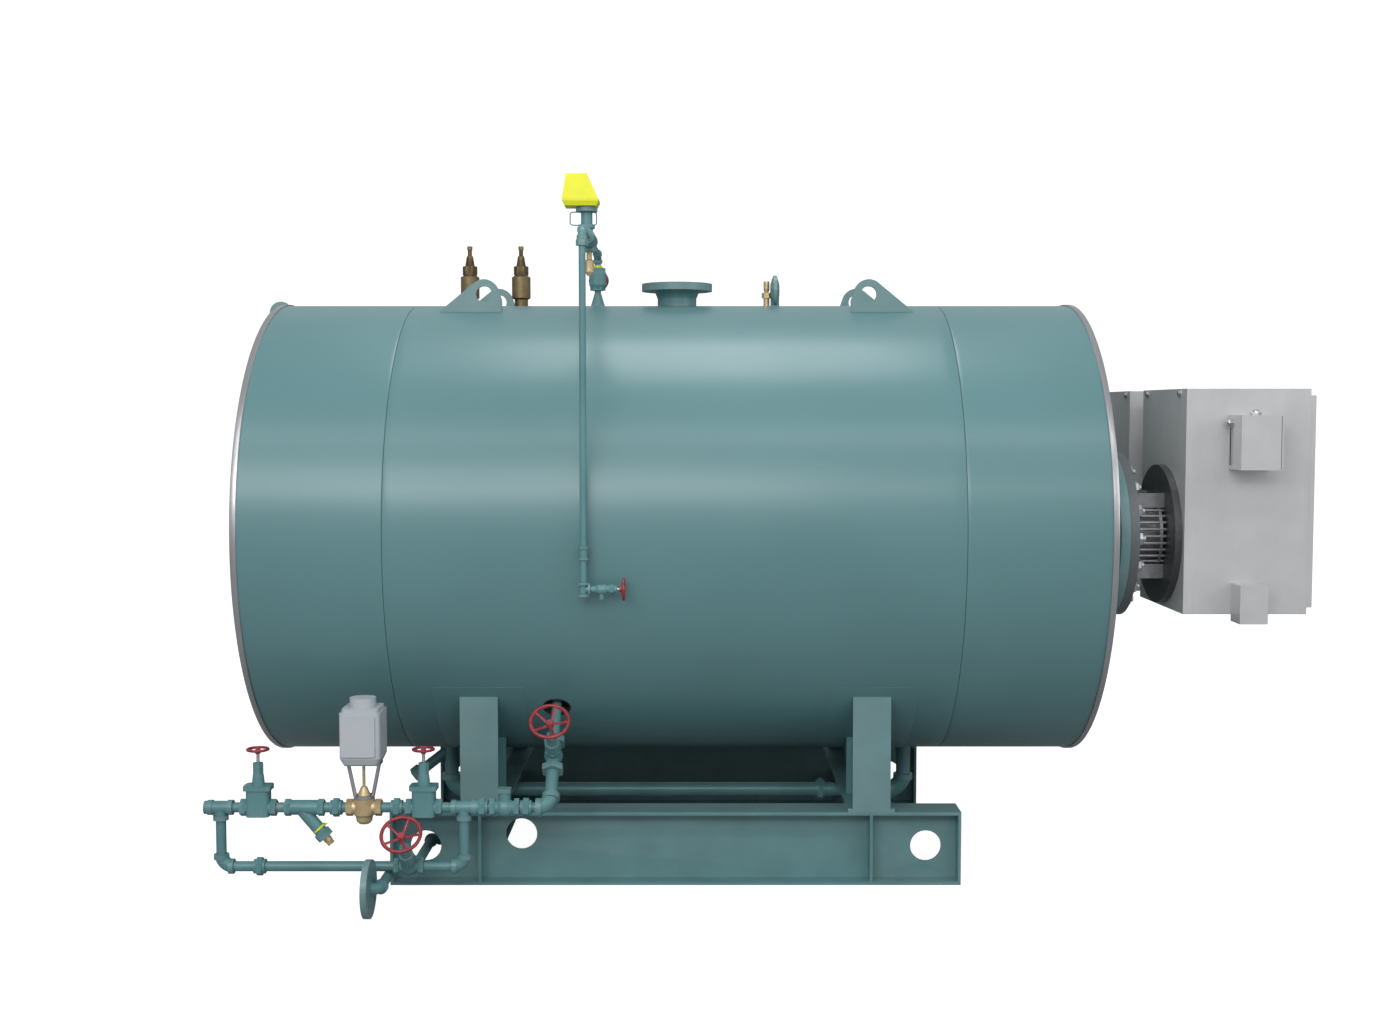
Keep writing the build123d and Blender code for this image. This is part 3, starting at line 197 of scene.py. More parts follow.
paintSet = {
    "jacketPaint": {
        "light": (0.116, 0.249, 0.262), "deep": (0.104, 0.228, 0.240), "clouds": (1.4, 2.0),
        "cloudSpan": (0.35, 0.65), "grain": (900, 2.0), "rough": 0.30, "roughGrain": 0.06,
        "roughClouds": 0.04, "coat": 0.2, "coatRough": 0.2, "bump": (0.35, 0.02),
        "waves": (2.6, 1.0), "waveStretch": (0.6, 1.0, 1.0), "waveGrain": 0.004,
    },
    "tealPaint": {
        "light": (0.116, 0.274, 0.288), "deep": (0.090, 0.219, 0.232), "clouds": (9, 3.0),
        "cloudSpan": (0.3, 0.7), "grain": (420, 3.0), "rough": 0.34, "roughGrain": 0.12, "roughClouds": 0.06,
        "worn": (0.30, 0.34, 0.33), "wornSpan": (0.53, 0.60), "wornShare": 0.28,
        "coat": 0.2, "coatRough": 0.2, "bump": (0.18, 0.0008),
    },
    "redPaint": {
        "light": (0.36, 0.020, 0.036), "deep": (0.24, 0.014, 0.024), "clouds": (60, 3.0),
        "cloudSpan": (0.3, 0.7), "grain": (500, 3.0), "rough": 0.3, "roughClouds": 0.12,
        "worn": (0.5, 0.18, 0.18), "wornSpan": (0.54, 0.62), "wornShare": 0.3,
        "coat": 0.3, "coatRough": 0.15, "bump": (0.12, 0.0006),
    },
    "bronze": {
        "light": (0.70, 0.55, 0.32), "deep": (0.54, 0.41, 0.22), "clouds": (40, 4.0), "cloudSpan": (0.3, 0.7),
        "grain": (700, 4.0), "metallic": 0.6, "rough": 0.36, "roughGrain": 0.16, "bump": (0.3, 0.0008),
    },
    "darkBronze": {  # weathered, with brown patina in patches
        "light": (0.17, 0.115, 0.055), "deep": (0.055, 0.034, 0.018), "clouds": (55, 5.0, 0.65),
        "cloudSpan": (0.38, 0.66), "grain": (650, 4.0), "metallic": 0.7, "rough": 0.38, "roughGrain": 0.2,
        "worn": (0.38, 0.29, 0.15), "wornSpan": (0.52, 0.58), "wornShare": 0.5, "bump": (0.35, 0.0009),
    },
    "stainless": {  # brushed along the drum
        "light": (0.62, 0.62, 0.63), "deep": (0.44, 0.445, 0.45), "clouds": (160, 4.0),
        "cloudStretch": (1, 0.06, 0.06), "metallic": 1.0, "rough": 0.24, "roughGrain": 0.16,
        "bump": (0.12, 0.0005),
    },
    "discSteel": {
        "light": (0.10, 0.105, 0.11), "deep": (0.06, 0.063, 0.067), "clouds": (90, 4.0), "metallic": 0.6,
        "rough": 0.34, "roughGrain": 0.2, "bump": (0.15, 0.0005),
    },
    "yellowPlastic": {
        "light": (0.90, 0.90, 0.018), "deep": (0.80, 0.80, 0.014), "clouds": (14, 3.0),
        "cloudSpan": (0.3, 0.7), "grain": (900, 2.0), "rough": 0.42, "roughGrain": 0.08,
        "bump": (0.08, 0.0004),
    },
    "actuatorPlastic": {
        "light": (0.50, 0.535, 0.56), "deep": (0.46, 0.49, 0.52), "clouds": (8, 3.0), "cloudSpan": (0.3, 0.7),
        "grain": (1100, 2.0), "rough": 0.42, "roughGrain": 0.1, "bump": (0.12, 0.0004),
    },
    "castAlloy": {
        "light": (0.50, 0.51, 0.54), "deep": (0.36, 0.37, 0.40), "clouds": (600, 4.0), "metallic": 0.85,
        "rough": 0.38, "roughGrain": 0.14, "bump": (0.2, 0.0005),
    },
    "flangeGrey": {
        "light": (0.17, 0.19, 0.20), "deep": (0.11, 0.125, 0.135), "clouds": (260, 3.0), "metallic": 0.3,
        "rough": 0.4, "roughGrain": 0.15, "bump": (0.2, 0.0006),
    },
    "elementMetal": {
        "light": (0.42, 0.42, 0.43), "deep": (0.26, 0.27, 0.28), "clouds": (30, 3.0), "cloudSpan": (0.3, 0.7),
        "grain": (400, 3.0), "metallic": 0.9, "rough": 0.28, "roughClouds": 0.16, "bump": (0.1, 0.0004),
    },
    "zincSteel": {
        "light": (0.60, 0.60, 0.62), "deep": (0.44, 0.45, 0.47), "clouds": (120, 3.0), "metallic": 1.0,
        "rough": 0.3, "roughGrain": 0.15, "bump": (0.1, 0.0004),
    },
    # Near black: painted shade inside the nozzle recess, and the dark colour of the upper boxes' rods and lid
    # seams.
    "darkLinesAndRecessShade": {
        "light": (0.012, 0.014, 0.015), "deep": (0.03, 0.033, 0.034), "clouds": (200, 3.0), "rough": 0.8,
        "bump": (0.4, 0.002),
    },
}

panelSet = {
    "light": (0.57, 0.57, 0.57), "deep": (0.64, 0.64, 0.64), "streak": (0.72, 0.72, 0.72),
    "clouds": (5, 5.0, 0.6), "cloudSpan": (0.35, 0.68),
    "streaks": (36, 5.0, 0.7), "streakStretch": (1.0, 0.25, 0.12), "streakSpan": (0.58, 0.78),
    "streakShare": 0.35, "metallic": 0.35, "rough": 0.3, "roughStreaks": 0.18,
    "waves": (3.2, 1.0), "waveStreaks": 0.01, "bump": (0.25, 0.006),
}

floorPaintSet = {
    "light": (0.33, 0.335, 0.34), "deep": (0.31, 0.315, 0.32), "cloudScale": 0.5, "rough": 0.8, "glow": 0.95,
}

finishes = {}


def newFinish(name):
    finishes[name] = bpy.data.materials.new(name)
    return ShaderTree(finishes[name])


def makeFinish(name, item):
    s = newFinish(name)
    clouds = s.noise(*item["clouds"], stretch=item.get("cloudStretch"))
    if "cloudSpan" in item:
        clouds = s.span(clouds, *item["cloudSpan"])
    grain = s.noise(*item["grain"]) if "grain" in item else clouds
    colour = s.blend(clouds, item["light"], item["deep"])
    if "worn" in item:
        worn = s.span(s.edges(), *item["wornSpan"])
        colour = s.blend(worn * item["wornShare"], colour, item["worn"])
    rough = item["rough"]
    if "roughGrain" in item:
        rough = rough + grain * item["roughGrain"]
    if "roughClouds" in item:
        rough = rough + clouds * item["roughClouds"]
    height = grain
    if "waves" in item:
        height = s.noise(*item["waves"], stretch=item["waveStretch"]) + grain * item["waveGrain"]
    s.surface(Base_Color=colour, Roughness=rough, Metallic=item.get("metallic", 0.0),
              Normal=s.bump(height, *item["bump"]))
    if "coat" in item:
        s.surface(Coat_Weight=item["coat"], Coat_Roughness=item["coatRough"])


def makePanelGrey(item):
    # Galvanised sheet: soft clouds with paler streaks over them, on a slightly wavy surface.
    s = newFinish("panelGrey")
    base = s.blend(s.span(s.noise(*item["clouds"]), *item["cloudSpan"]), item["light"], item["deep"])
    streaks = s.noise(*item["streaks"], stretch=item["streakStretch"])
    pale = s.span(streaks, *item["streakSpan"]) * item["streakShare"]
    height = s.noise(*item["waves"]) + streaks * item["waveStreaks"]
    s.surface(Base_Color=s.blend(pale, base, item["streak"]), Metallic=item["metallic"],
              Roughness=item["rough"] + streaks * item["roughStreaks"], Normal=s.bump(height, *item["bump"]))


def makeFloorPale(item):
    # The camera sees the floor nearly white; for the boiler it is a mid grey that throws little light up.
    s = newFinish("floorPale")
    seen = s.node("ShaderNodeLightPath", output="Is Camera Ray")
    s.surface(Base_Color=s.blend(s.noise(item["cloudScale"]), item["light"], item["deep"]),
              Roughness=item["rough"], Emission_Color=s.blend(seen, (0.0, 0.0, 0.0), (1.0, 1.0, 1.0)),
              Emission_Strength=item["glow"])


for finishName, finishValues in paintSet.items():
    makeFinish(finishName, finishValues)
makePanelGrey(panelSet)
makeFloorPale(floorPaintSet)
print("stage: finishes")


# Surfaces from numpy grids

meshSet = {
    "sharpDegrees": 38,  # edges that turn by more stay sharp
    "seamGap": 2e-6,  # points closer than this, in metres, become one
    "headBevel": 0.12,  # of a bolt head's half width
    "nearUpright": 0.9,  # an axis whose upright share is less isn't nearly upright
}


def gridFaces(rows, columns, wrapRows=False, wrapColumns=False):
    # Quads between neighbouring rows and columns; a wrapped side joins its last line to its first.
    r = np.arange(rows if wrapRows else rows - 1)
    c = np.arange(columns if wrapColumns else columns - 1)
    a, b = np.meshgrid(r, c, indexing="ij")
    nextA, nextB = (a + 1) % rows, (b + 1) % columns
    corners = [a * columns + b, nextA * columns + b, nextA * columns + nextB, a * columns + nextB]
    return np.stack(corners, -1).reshape(-1, 4)


def surface(points, wrapRows=False, wrapColumns=False):
    rows, columns = points.shape[:2]
    return points.reshape(-1, 3), gridFaces(rows, columns, wrapRows, wrapColumns)


def crossPair(axis):
    # The axis as a unit vector, with two unit vectors square to it and to each other. They are built from
    # the upright, or from X where the axis itself is nearly upright.
    axis = np.asarray(axis, float) / np.linalg.norm(axis)
    helper = (0.0, 0.0, 1.0) if abs(axis[2]) < meshSet["nearUpright"] else (1.0, 0.0, 0.0)
    side = np.cross(helper, axis)
    side /= np.linalg.norm(side)
    return axis, side, np.cross(axis, side)


def circle(turn, side, other):
    # Unit vectors at these turns: the cosine of the turn along one side and its sine along the other.
    return np.cos(turn)[..., None] * side + np.sin(turn)[..., None] * other


def lathe(profile, origin, axis, steps, turn=0.0):
    # A profile of (distance along the axis, radius) turned through a full circle.
    axis, side, other = crossPair(axis)
    along, radius = np.asarray(profile, float).T[:, :, None]
    angle = turn + np.linspace(0, 2 * np.pi, steps, endpoint=False)[None, :]
    ring = circle(angle, side, other)
    return surface(np.asarray(origin) + along[..., None] * axis + radius[..., None] * ring, wrapColumns=True)


def tube(path, radius, sides, up, closed=False, flat=1.0):
    # A round or oval section carried along a path; it stands square to the step from each point's
    # neighbour before to the one after. Open ends are closed at the path's own end points.
    path = np.asarray(path, float)
    step = np.roll(path, -1, 0) - np.roll(path, 1, 0) if closed else np.gradient(path, axis=0)
    tangent = step / np.linalg.norm(step, axis=1, keepdims=True)
    side = np.cross(np.broadcast_to(up, tangent.shape), tangent)
    side /= np.linalg.norm(side, axis=1, keepdims=True)
    other = flat * np.cross(tangent, side)
    angle = np.linspace(0, 2 * np.pi, sides, endpoint=False)[None, :]
    radius = np.broadcast_to(radius, len(path))[:, None, None]
    ring = path[:, None] + radius * circle(angle, side[:, None], other[:, None])
    if not closed:
        ends = [np.repeat(path[place, None, None], sides, 1) for place in (0, -1)]
        ring = np.concatenate([ends[0], ring, ends[1]])
    return surface(ring, wrapRows=closed, wrapColumns=True)


def hexHead(origin, axis, halfFlats, height, turn=0.0):
    # Six flats with a small bevel at the outer face, as on a bolt head or nut.
    corner = halfFlats / math.cos(math.pi / 6)
    bevel = halfFlats * meshSet["headBevel"]
    profile = [(0, 0), (0, corner), (height - bevel, corner), (height, corner - bevel), (height, 0)]
    return lathe(profile, origin, axis, 6, turn)


def merge(parts):
    # Joins surfaces into one list of points and one of faces.
    starts = np.cumsum([0] + [len(points) for points, faces in parts])
    return (np.concatenate([points for points, faces in parts]),
            np.concatenate([faces + start for (points, faces), start in zip(parts, starts)]))


def makePiece(name, parts, material, body=mainBody, replaces=(), outward=True, gap=meshSet["seamGap"]):
    # Puts the surfaces into one mesh, closes poles and seams, points the faces outwards and smooths them.
    points, faces = merge(parts)
    mesh = bpy.data.meshes.new(name)
    mesh.from_pydata(points.tolist(), [], faces.tolist())
    shape = bmesh.new()
    shape.from_mesh(mesh)
    bmesh.ops.remove_doubles(shape, verts=shape.verts, dist=gap)
    if outward:
        bmesh.ops.recalc_face_normals(shape, faces=shape.faces)
    shape.to_mesh(mesh)
    shape.free()
    mesh.polygons.foreach_set("use_smooth", np.ones(len(mesh.polygons), bool))
    mesh.set_sharp_from_angle(angle=math.radians(meshSet["sharpDegrees"]))
    mesh.materials.append(finishes[material])
    piece = bpy.data.objects.new(name, mesh)
    bpy.context.scene.collection.objects.link(piece)
    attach(piece, body)
    if replaces:
        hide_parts(*replaces)


def boxOf(node):
    low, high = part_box(node)
    return np.array(low), np.array(high)


# Drum jacket

jacketLow, jacketHigh = boxOf("jacket_centre")
drumRadius = (jacketHigh[2] - jacketLow[2]) / 2
drumHeight = (jacketHigh[2] + jacketLow[2]) / 2
seamX = jacketHigh[0]

jacketSet = {
    "bend": 1.5 * mm, "bendDepth": 0.9 * mm,  # how wide and how deep each sheet's ends turn in
    "sideEnds": ((0.2, 1), (0.3, 0.5), (0.6, 0.2), (1, 0)),  # shares of that width and depth, from the end
    "centreEnds": ((0.2, 1), (0.5, 0.35), (1, 0)),
    "sideLines": 40, "leftLines": 16, "rightLines": 28, "aroundSteps": 360,
    "holeX": -327 * mm, "holeDegrees": -45.0, "holeRadius": 36 * mm, "holeDepth": 48 * mm, "holeSteps": 64,
    "fieldMargin": 90 * mm, "fieldSteps": 16, "fieldRings": 9, "fieldGap": 2e-5,
    "lipWidth": 3 * mm, "lipCrest": 2 * mm, "lipRise": 0.5 * mm, "lipHeight": 0.6 * mm,
}


def onDrum(x, angle, radius):
    # A point at this length and radius. Its angle runs from the front (-Y) upwards: minus Y is the radius
    # times the angle's cosine, and the height over the axis is the radius times its sine.
    x, angle, radius = np.broadcast_arrays(x, angle, radius)
    return np.stack([x, -radius * np.cos(angle), drumHeight + radius * np.sin(angle)], -1)


def sheetLines(lowX, highX, middle, ends):
    # The places of a sheet's lines along the drum, and how far the sheet drops at each.
    along, down = np.array(ends).T
    along, down = along * jacketSet["bend"], down * jacketSet["bendDepth"]
    x = np.concatenate([lowX + along, middle, highX - along[::-1]])
    return x, np.concatenate([down, np.zeros(len(middle)), down[::-1]])


def drumSheet(x, drop, angle):
    # A sheet round the drum whose radius is the drum's, less the drop at each line.
    return surface(onDrum(x[None, :], angle[:, None], drumRadius - drop[None, :]))


def sideSheet(node):
    low, high = (place[0] for place in boxOf(node))
    bend = jacketSet["bend"]
    middle = np.linspace(low + bend, high - bend, jacketSet["sideLines"])[1:-1]
    angle = np.linspace(-np.pi, np.pi, jacketSet["aroundSteps"] + 1)
    return drumSheet(*sheetLines(low, high, middle, jacketSet["sideEnds"]), angle)


def centreSheet():
    # One grid, with its lines closer at the hole. A square field is left out of it and filled with rings that
    # start on the field's own grid points and narrow, in even shares of the way, to the round hole.
    item = jacketSet
    margin, count, bend = item["fieldMargin"], item["fieldSteps"], item["bend"]
    holeX, holeAngle = item["holeX"], math.radians(item["holeDegrees"])
    spread = margin / drumRadius
    fieldX = np.linspace(holeX - margin, holeX + margin, count + 1)
    fieldAngle = np.linspace(holeAngle - spread, holeAngle + spread, count + 1)
    middle = np.concatenate([np.linspace(-seamX + bend, fieldX[0], item["leftLines"])[1:-1], fieldX,
                             np.linspace(fieldX[-1], seamX - bend, item["rightLines"])[1:-1]])
    x, drop = sheetLines(-seamX, seamX, middle, item["centreEnds"])
    around = np.linspace(fieldAngle[-1], fieldAngle[0] + 2 * np.pi, item["aroundSteps"] + 1 - count)
    points, faces = drumSheet(x, drop, np.concatenate([fieldAngle, around[1:]]))
    firstX = int(np.argmin(abs(x - fieldX[0])))
    row, column = np.divmod(np.arange(len(faces)), len(x) - 1)
    inField = (row < count) & (column >= firstX) & (column < firstX + count)
    # The field's rim as places in its two lists, one side after another.
    line, first, last = np.arange(count), np.zeros(count, int), np.full(count, count)
    rimX = fieldX[np.concatenate([line, last, count - line, first, [0]])][:, None]
    rimAngle = fieldAngle[np.concatenate([first, line, last, count - line, [0]])][:, None]
    wayX, wayAround = rimX - holeX, (rimAngle - holeAngle) * drumRadius
    share = np.linspace(0, 1, item["fieldRings"])[None, :]
    scale = (1 - share) + share * item["holeRadius"] / np.hypot(wayX, wayAround)
    rings = onDrum(holeX + wayX * scale, holeAngle + wayAround * scale / drumRadius, drumRadius)
    return [(points, faces[~inField]), surface(rings)]


def nozzleRecess():
    # The round recess behind the hole: a thin lip, a short wall and its bottom, seen from outside. Its near
    # black is painted shade.
    item = jacketSet
    hole, angle = item["holeRadius"], math.radians(item["holeDegrees"])
    rim, deep = drumRadius + item["lipRise"], drumRadius - item["holeDepth"]
    profile = [(rim, hole + item["lipWidth"]), (rim + item["lipHeight"], hole + item["lipCrest"]),
               (rim, hole), (deep, hole), (deep, 0)]
    outward = (0, -math.cos(angle), math.sin(angle))
    return lathe(profile, (item["holeX"], 0, drumHeight), outward, item["holeSteps"])


def buildJacket():
    for node in ("jacket_left", "jacket_right"):
        makePiece("Sheet_" + node, [sideSheet(node)], "jacketPaint", replaces=(node,),
                  outward=False)
    makePiece("Sheet_jacket_centre", centreSheet(), "jacketPaint",
              replaces=("jacket_centre",), outward=False, gap=jacketSet["fieldGap"])
    # The recess is painted near black: painted shade.
    makePiece("Nozzle_recess", [nozzleRecess()], "darkLinesAndRecessShade", outward=False)
    print("stage: jacket")


# Trim rings at the drum's ends

ringSet = {
    "width": 17 * mm, "lip": 6 * mm, "innerRadius": 560 * mm, "overSheet": 0.2 * mm,
    "backBevel": 1.5 * mm, "frontRound": 2.5 * mm, "frontMiddle": 0.8 * mm, "steps": 256,
}


def buildTrimRings():
    item = ringSet
    low, high = boxOf("trim_rings")
    outer, width, inner = (high[2] - low[2]) / 2, item["width"], item["innerRadius"]
    back, front, middle = item["backBevel"], item["frontRound"], item["frontMiddle"]
    profile = [(0, drumRadius + item["overSheet"]), (0, outer - back), (back, outer), (width - front, outer),
               (width - middle, outer - middle), (width, outer - front), (width, inner),
               (width - item["lip"], inner)]
    for name, side, end in (("Ring_left", -1, low[0]), ("Ring_right", 1, high[0])):
        start = (end - side * width, 0, drumHeight)
        makePiece(name, [lathe(profile, start, (side, 0, 0), item["steps"])], "stainless",
                  replaces=("trim_rings",) if side < 0 else (), outward=False)
    print("stage: trim rings")


# Thin removable sheets where the saddles meet the jacket

saddlePanelSet = {
    "width": 250 * mm, "topDegrees": -37.5, "rise": 1.0 * mm, "shoulder": 0.7,  # of the rise
    "edge": 0.8 * mm, "skirt": 0.2 * mm, "sunk": 0.3 * mm, "underlap": 0.02, "steps": 48,
}


def buildSeamPanels():
    # Patches of the drum, lifted by the sheet's thickness and let down to the drum all round.
    item = saddlePanelSet
    half, rise, top = item["width"] / 2, item["rise"], math.radians(item["topDegrees"])
    across = np.array([half + item["skirt"], half, half - item["edge"]])
    lift = np.array([-item["sunk"], rise * item["shoulder"], rise])
    across, lift = np.concatenate([-across, across[::-1]]), np.concatenate([lift, lift[::-1]])
    level = np.pad(np.ones(item["steps"]), 1)[:, None]
    bottom = math.pi / 2 + item["underlap"]
    parts = []
    for node in ("saddle_left", "saddle_right"):
        x = sum(place[0] for place in boxOf(node)) / 2 + across
        for low, high in ((-bottom, top), (math.pi - top, math.pi + bottom)):
            angle = np.pad(np.linspace(low, high, item["steps"]), 1, mode="edge")[:, None]
            parts.append(surface(onDrum(x[None, :], angle, drumRadius + lift[None, :] * level)))
    makePiece("Seam_panels", parts, "jacketPaint", outward=False)
    print("stage: seam panels")


# Handwheels

wheelSet = {
    "small": {"spokes": 4, "rim": 3.8 * mm, "hub": 7 * mm, "radius": 30.5 * mm, "dish": 5 * mm},
    "large": {"spokes": 5, "rim": 5.0 * mm, "hub": 11 * mm, "radius": 55 * mm, "dish": 12 * mm},
    "largeOnes": ("bypass_wheel", "feed_stop_wheel"),
    "rimSwell": 0.035, "rimSteps": 96, "rimSides": 14,
    "bore": 4.05 * mm, "hubHeight": 13 * mm, "hubSteps": 32,
    "hubBevel": 0.1, "hubShoulder": 0.25, "hubTop": 0.8,  # of the hub's radius
    "spokeFoot": 0.7, "nutFlats": 0.74,  # of the hub's radius too
    "spokeWide": 0.95, "spokeWaist": 0.25,  # of the rim's thickness
    "spokeFlat": 0.55,  # of the spoke's own width
    "spokeSteps": 12, "spokeSides": 12, "nutHeight": 4 * mm,
    "tip": ((0, 3.4 * mm), (0.9 * mm, 3.0 * mm), (0.9 * mm, 0)), "tipSteps": 16,  # the stem's end
}


def wheelParts(centre, axis, size):
    item = {**wheelSet, **wheelSet[size]}
    axis, side, other = crossPair(axis)
    rim, hub, dish = item["rim"], item["hub"], item["dish"]
    rimRadius, foot = item["radius"] - rim, hub * item["spokeFoot"]
    high = item["hubHeight"] / 2
    # The rim swells a little at and between the spokes, as a cast wheel's does: its thickness follows the
    # cosine of twice the spokes' count times the turn.
    turn = np.linspace(0, 2 * np.pi, item["rimSteps"], endpoint=False)
    path = centre + rimRadius * circle(turn, side, other) + dish * axis
    swell = item["rimSwell"]
    thick = rim * (1 - swell + swell * np.cos(turn * item["spokes"] * 2))
    parts = [tube(path, thick, item["rimSides"], axis, closed=True)]
    bevel = hub * item["hubBevel"]
    parts.append(lathe([(-high, item["bore"]), (-high, hub - bevel), (bevel - high, hub),
                        (high - item["hubShoulder"] * hub, hub), (high, hub * item["hubTop"]), (high, 0)],
                       centre, axis, item["hubSteps"]))
    # Each spoke leaves the hub low and rises to the rim on a smooth S: three times the share squared, less
    # twice its cube. It is narrowest half way, by the sine of the share of a half turn.
    share = np.linspace(0, 1, item["spokeSteps"])
    rise = dish * (3 * share ** 2 - 2 * share ** 3)
    wide = rim * (item["spokeWide"] - item["spokeWaist"] * np.sin(np.pi * share))
    for way in circle(2 * np.pi * np.arange(item["spokes"]) / item["spokes"], side, other):
        spoke = centre + (foot + (rimRadius - foot) * share)[:, None] * way + rise[:, None] * axis
        parts.append(tube(spoke, wide, item["spokeSides"], axis, flat=item["spokeFlat"]))
    top = centre + axis * high
    parts.append(hexHead(top, axis, hub * item["nutFlats"], item["nutHeight"]))
    parts.append(lathe(item["tip"], top + axis * item["nutHeight"], axis, item["tipSteps"]))
    return parts


def buildWheels():
    for joint in frame["joints"]:
        node = joint["child"]
        size = "large" if node in wheelSet["largeOnes"] else "small"
        parts = wheelParts(np.array(joint["pos_m"]), joint["axis"], size)
        makePiece("Wheel_" + node, parts, "redPaint", body=node, replaces=(node,))
    print("stage: handwheels")


# Bolts and nuts on the heater flanges

boltSet = {
    "count": 16, "circle": 192.5 * mm, "flangeRadius": 230 * mm,
    "faceDepth": 16 * mm,  # from the bolt heads' ends back to the flange's own face
    "washer": 21 * mm, "washerThick": 3 * mm, "washerCrown": 0.5 * mm, "washerBevel": 1 * mm,
    "washerSteps": 24, "halfFlats": 15.6 * mm, "nutLength": 16.6 * mm,
    "studRadius": 9 * mm, "studReach": 7 * mm, "studBevel": 1 * mm, "studSunk": 1 * mm, "studSteps": 16,
}


def buildFlangeBolts():
    item = boltSet
    low, high = boxOf("heater_flanges")
    face, height = high[0] - item["faceDepth"], (low[2] + high[2]) / 2
    washer, thick, crown = item["washer"], item["washerThick"], item["washerCrown"]
    washerLine = [(0, 0), (0, washer), (thick, washer), (thick + crown, washer - item["washerBevel"]),
                  (thick, 0)]
    nut, stud, bevel = item["nutLength"], item["studRadius"], item["studBevel"]
    end = nut + item["studReach"]
    studLine = [(nut - item["studSunk"], 0), (nut - item["studSunk"], stud), (end, stud),
                (end + bevel, stud - bevel), (end + bevel, 0)]
    outward = (1, 0, 0)
    parts = []
    for middleY in (low[1] + item["flangeRadius"], high[1] - item["flangeRadius"]):
        for angle in 2 * np.pi * np.arange(item["count"]) / item["count"]:
            spot = np.array([face, middleY + item["circle"] * math.cos(angle),
                             height + item["circle"] * math.sin(angle)])
            parts.append(lathe(washerLine, spot, outward, item["washerSteps"]))
            parts.append(hexHead(spot, outward, item["halfFlats"], nut, turn=angle))
            parts.append(lathe(studLine, spot, outward, item["studSteps"]))
    makePiece("Flange_nuts", parts, "zincSteel")
    print("stage: flange nuts")


# Small parts of the terminal cabinets

cabinetSet = {
    "boltInsets": (66 * mm, 381 * mm),  # from the near edge of the left wall
    "boltDrop": 12 * mm, "boltFlats": 7.5 * mm, "boltHeight": 6 * mm, "boltSteps": 20,
    "washer": 11.25 * mm, "washerThick": 1.2 * mm,
    "hub": 13 * mm, "hubHeight": 15 * mm, "hubNut": 0.5, "hubSteps": 24,
    "hubCap": ((0.5, 0.8), (0.8, 0.72), (1, 0.4), (1, 0)),  # shares of its height and radius
    "boxX": (1497 * mm, 1608 * mm), "boxZ": (1146 * mm, 1291 * mm),
    "sideHubInset": 24 * mm, "sideHubDrop": 20 * mm, "topHubInset": 50 * mm,
    "rod": 1.5 * mm, "rodOut": 3 * mm, "rodDrop": 26 * mm, "rodRise": 11 * mm, "rodSides": 10,
    "seam": 0.66 * mm, "seamInset": 5 * mm, "seamEnds": 2 * mm, "seamSides": 8, "rodPoints": 12,
}


def smallHub(place, axis):
    # A lock nut with a domed cap.
    hub, height = cabinetSet["hub"], cabinetSet["hubHeight"]
    cap = [(height * along, hub * radius) for along, radius in cabinetSet["hubCap"]]
    return [hexHead(place, axis, hub, height * cabinetSet["hubNut"]),
            lathe(cap, place, axis, cabinetSet["hubSteps"])]


def thinRod(start, end, radius, sides):
    return tube(np.linspace(start, end, cabinetSet["rodPoints"]), radius, sides, (0, 1, 0))


def buildCabinetParts():
    item = cabinetSet
    (wall, nearEdge, _), (_, farEdge, roof) = boxOf("terminal_cabinets")
    (_, nearFront, _), (_, farFront, _) = boxOf("cabinet_boxes")
    (left, right), (bottom, top) = item["boxX"], item["boxZ"]
    washer, thick = item["washer"], item["washerThick"]
    washerLine = [(0, 0), (0, washer), (thick, washer), (thick, 0)]
    leftward, upward = (-1, 0, 0), (0, 0, 1)
    bolts, dark = [], []
    for side, edge, front in ((-1, nearEdge, nearFront), (1, farEdge, farFront)):
        for inset in item["boltInsets"]:
            spot = np.array([wall, edge - side * inset, roof - item["boltDrop"]])
            bolts.append(lathe(washerLine, spot, leftward, item["boltSteps"]))
            bolts.append(hexHead(spot, leftward, item["boltFlats"], item["boltHeight"]))
        # The upper box: a hub and a rod on its left wall, a hub on its top and a lid seam on its front.
        inner = edge + side * item["sideHubInset"]
        bolts += smallHub(np.array([left, inner, top - item["sideHubDrop"]]), leftward)
        bolts += smallHub(np.array([(left + right) / 2, edge + side * item["topHubInset"], top]), upward)
        rodX, seamAt, ends = left - item["rodOut"], right - item["seamInset"], item["seamEnds"]
        dark.append(thinRod([rodX, inner, top - item["rodDrop"]], [rodX, inner, bottom + item["rodRise"]],
                            item["rod"], item["rodSides"]))
        dark.append(thinRod([seamAt, front, bottom + ends], [seamAt, front, top - ends], item["seam"],
                            item["seamSides"]))
    makePiece("Cabinet_bolts", bolts, "zincSteel")
    makePiece("Box_rods", dark, "darkLinesAndRecessShade")
    print("stage: cabinet parts")


# Valve stems

stemSet = {
    "radius": 4.4 * mm, "pitch": 1.6 * mm, "ridge": 0.05, "ridgeSteps": 4, "steps": 16,
    "gateLength": 23 * mm, "length": 6 * mm, "gap": 6.6 * mm,  # from the wheel's middle down to the stem
}


def threadedStem(start, axis, length):
    # A rod whose radius rises and falls in even ridges: it is less by the ridge's share, times a half and
    # half the cosine of the turns run through.
    pitch, radius = stemSet["pitch"], stemSet["radius"]
    along = np.linspace(0, length, int(length / pitch) * stemSet["ridgeSteps"])
    ridges = radius * (1 - stemSet["ridge"] * (0.5 + 0.5 * np.cos(2 * np.pi * along / pitch)))
    return lathe([(0, 0), *zip(along, ridges), (length, 0)], start, axis, stemSet["steps"])


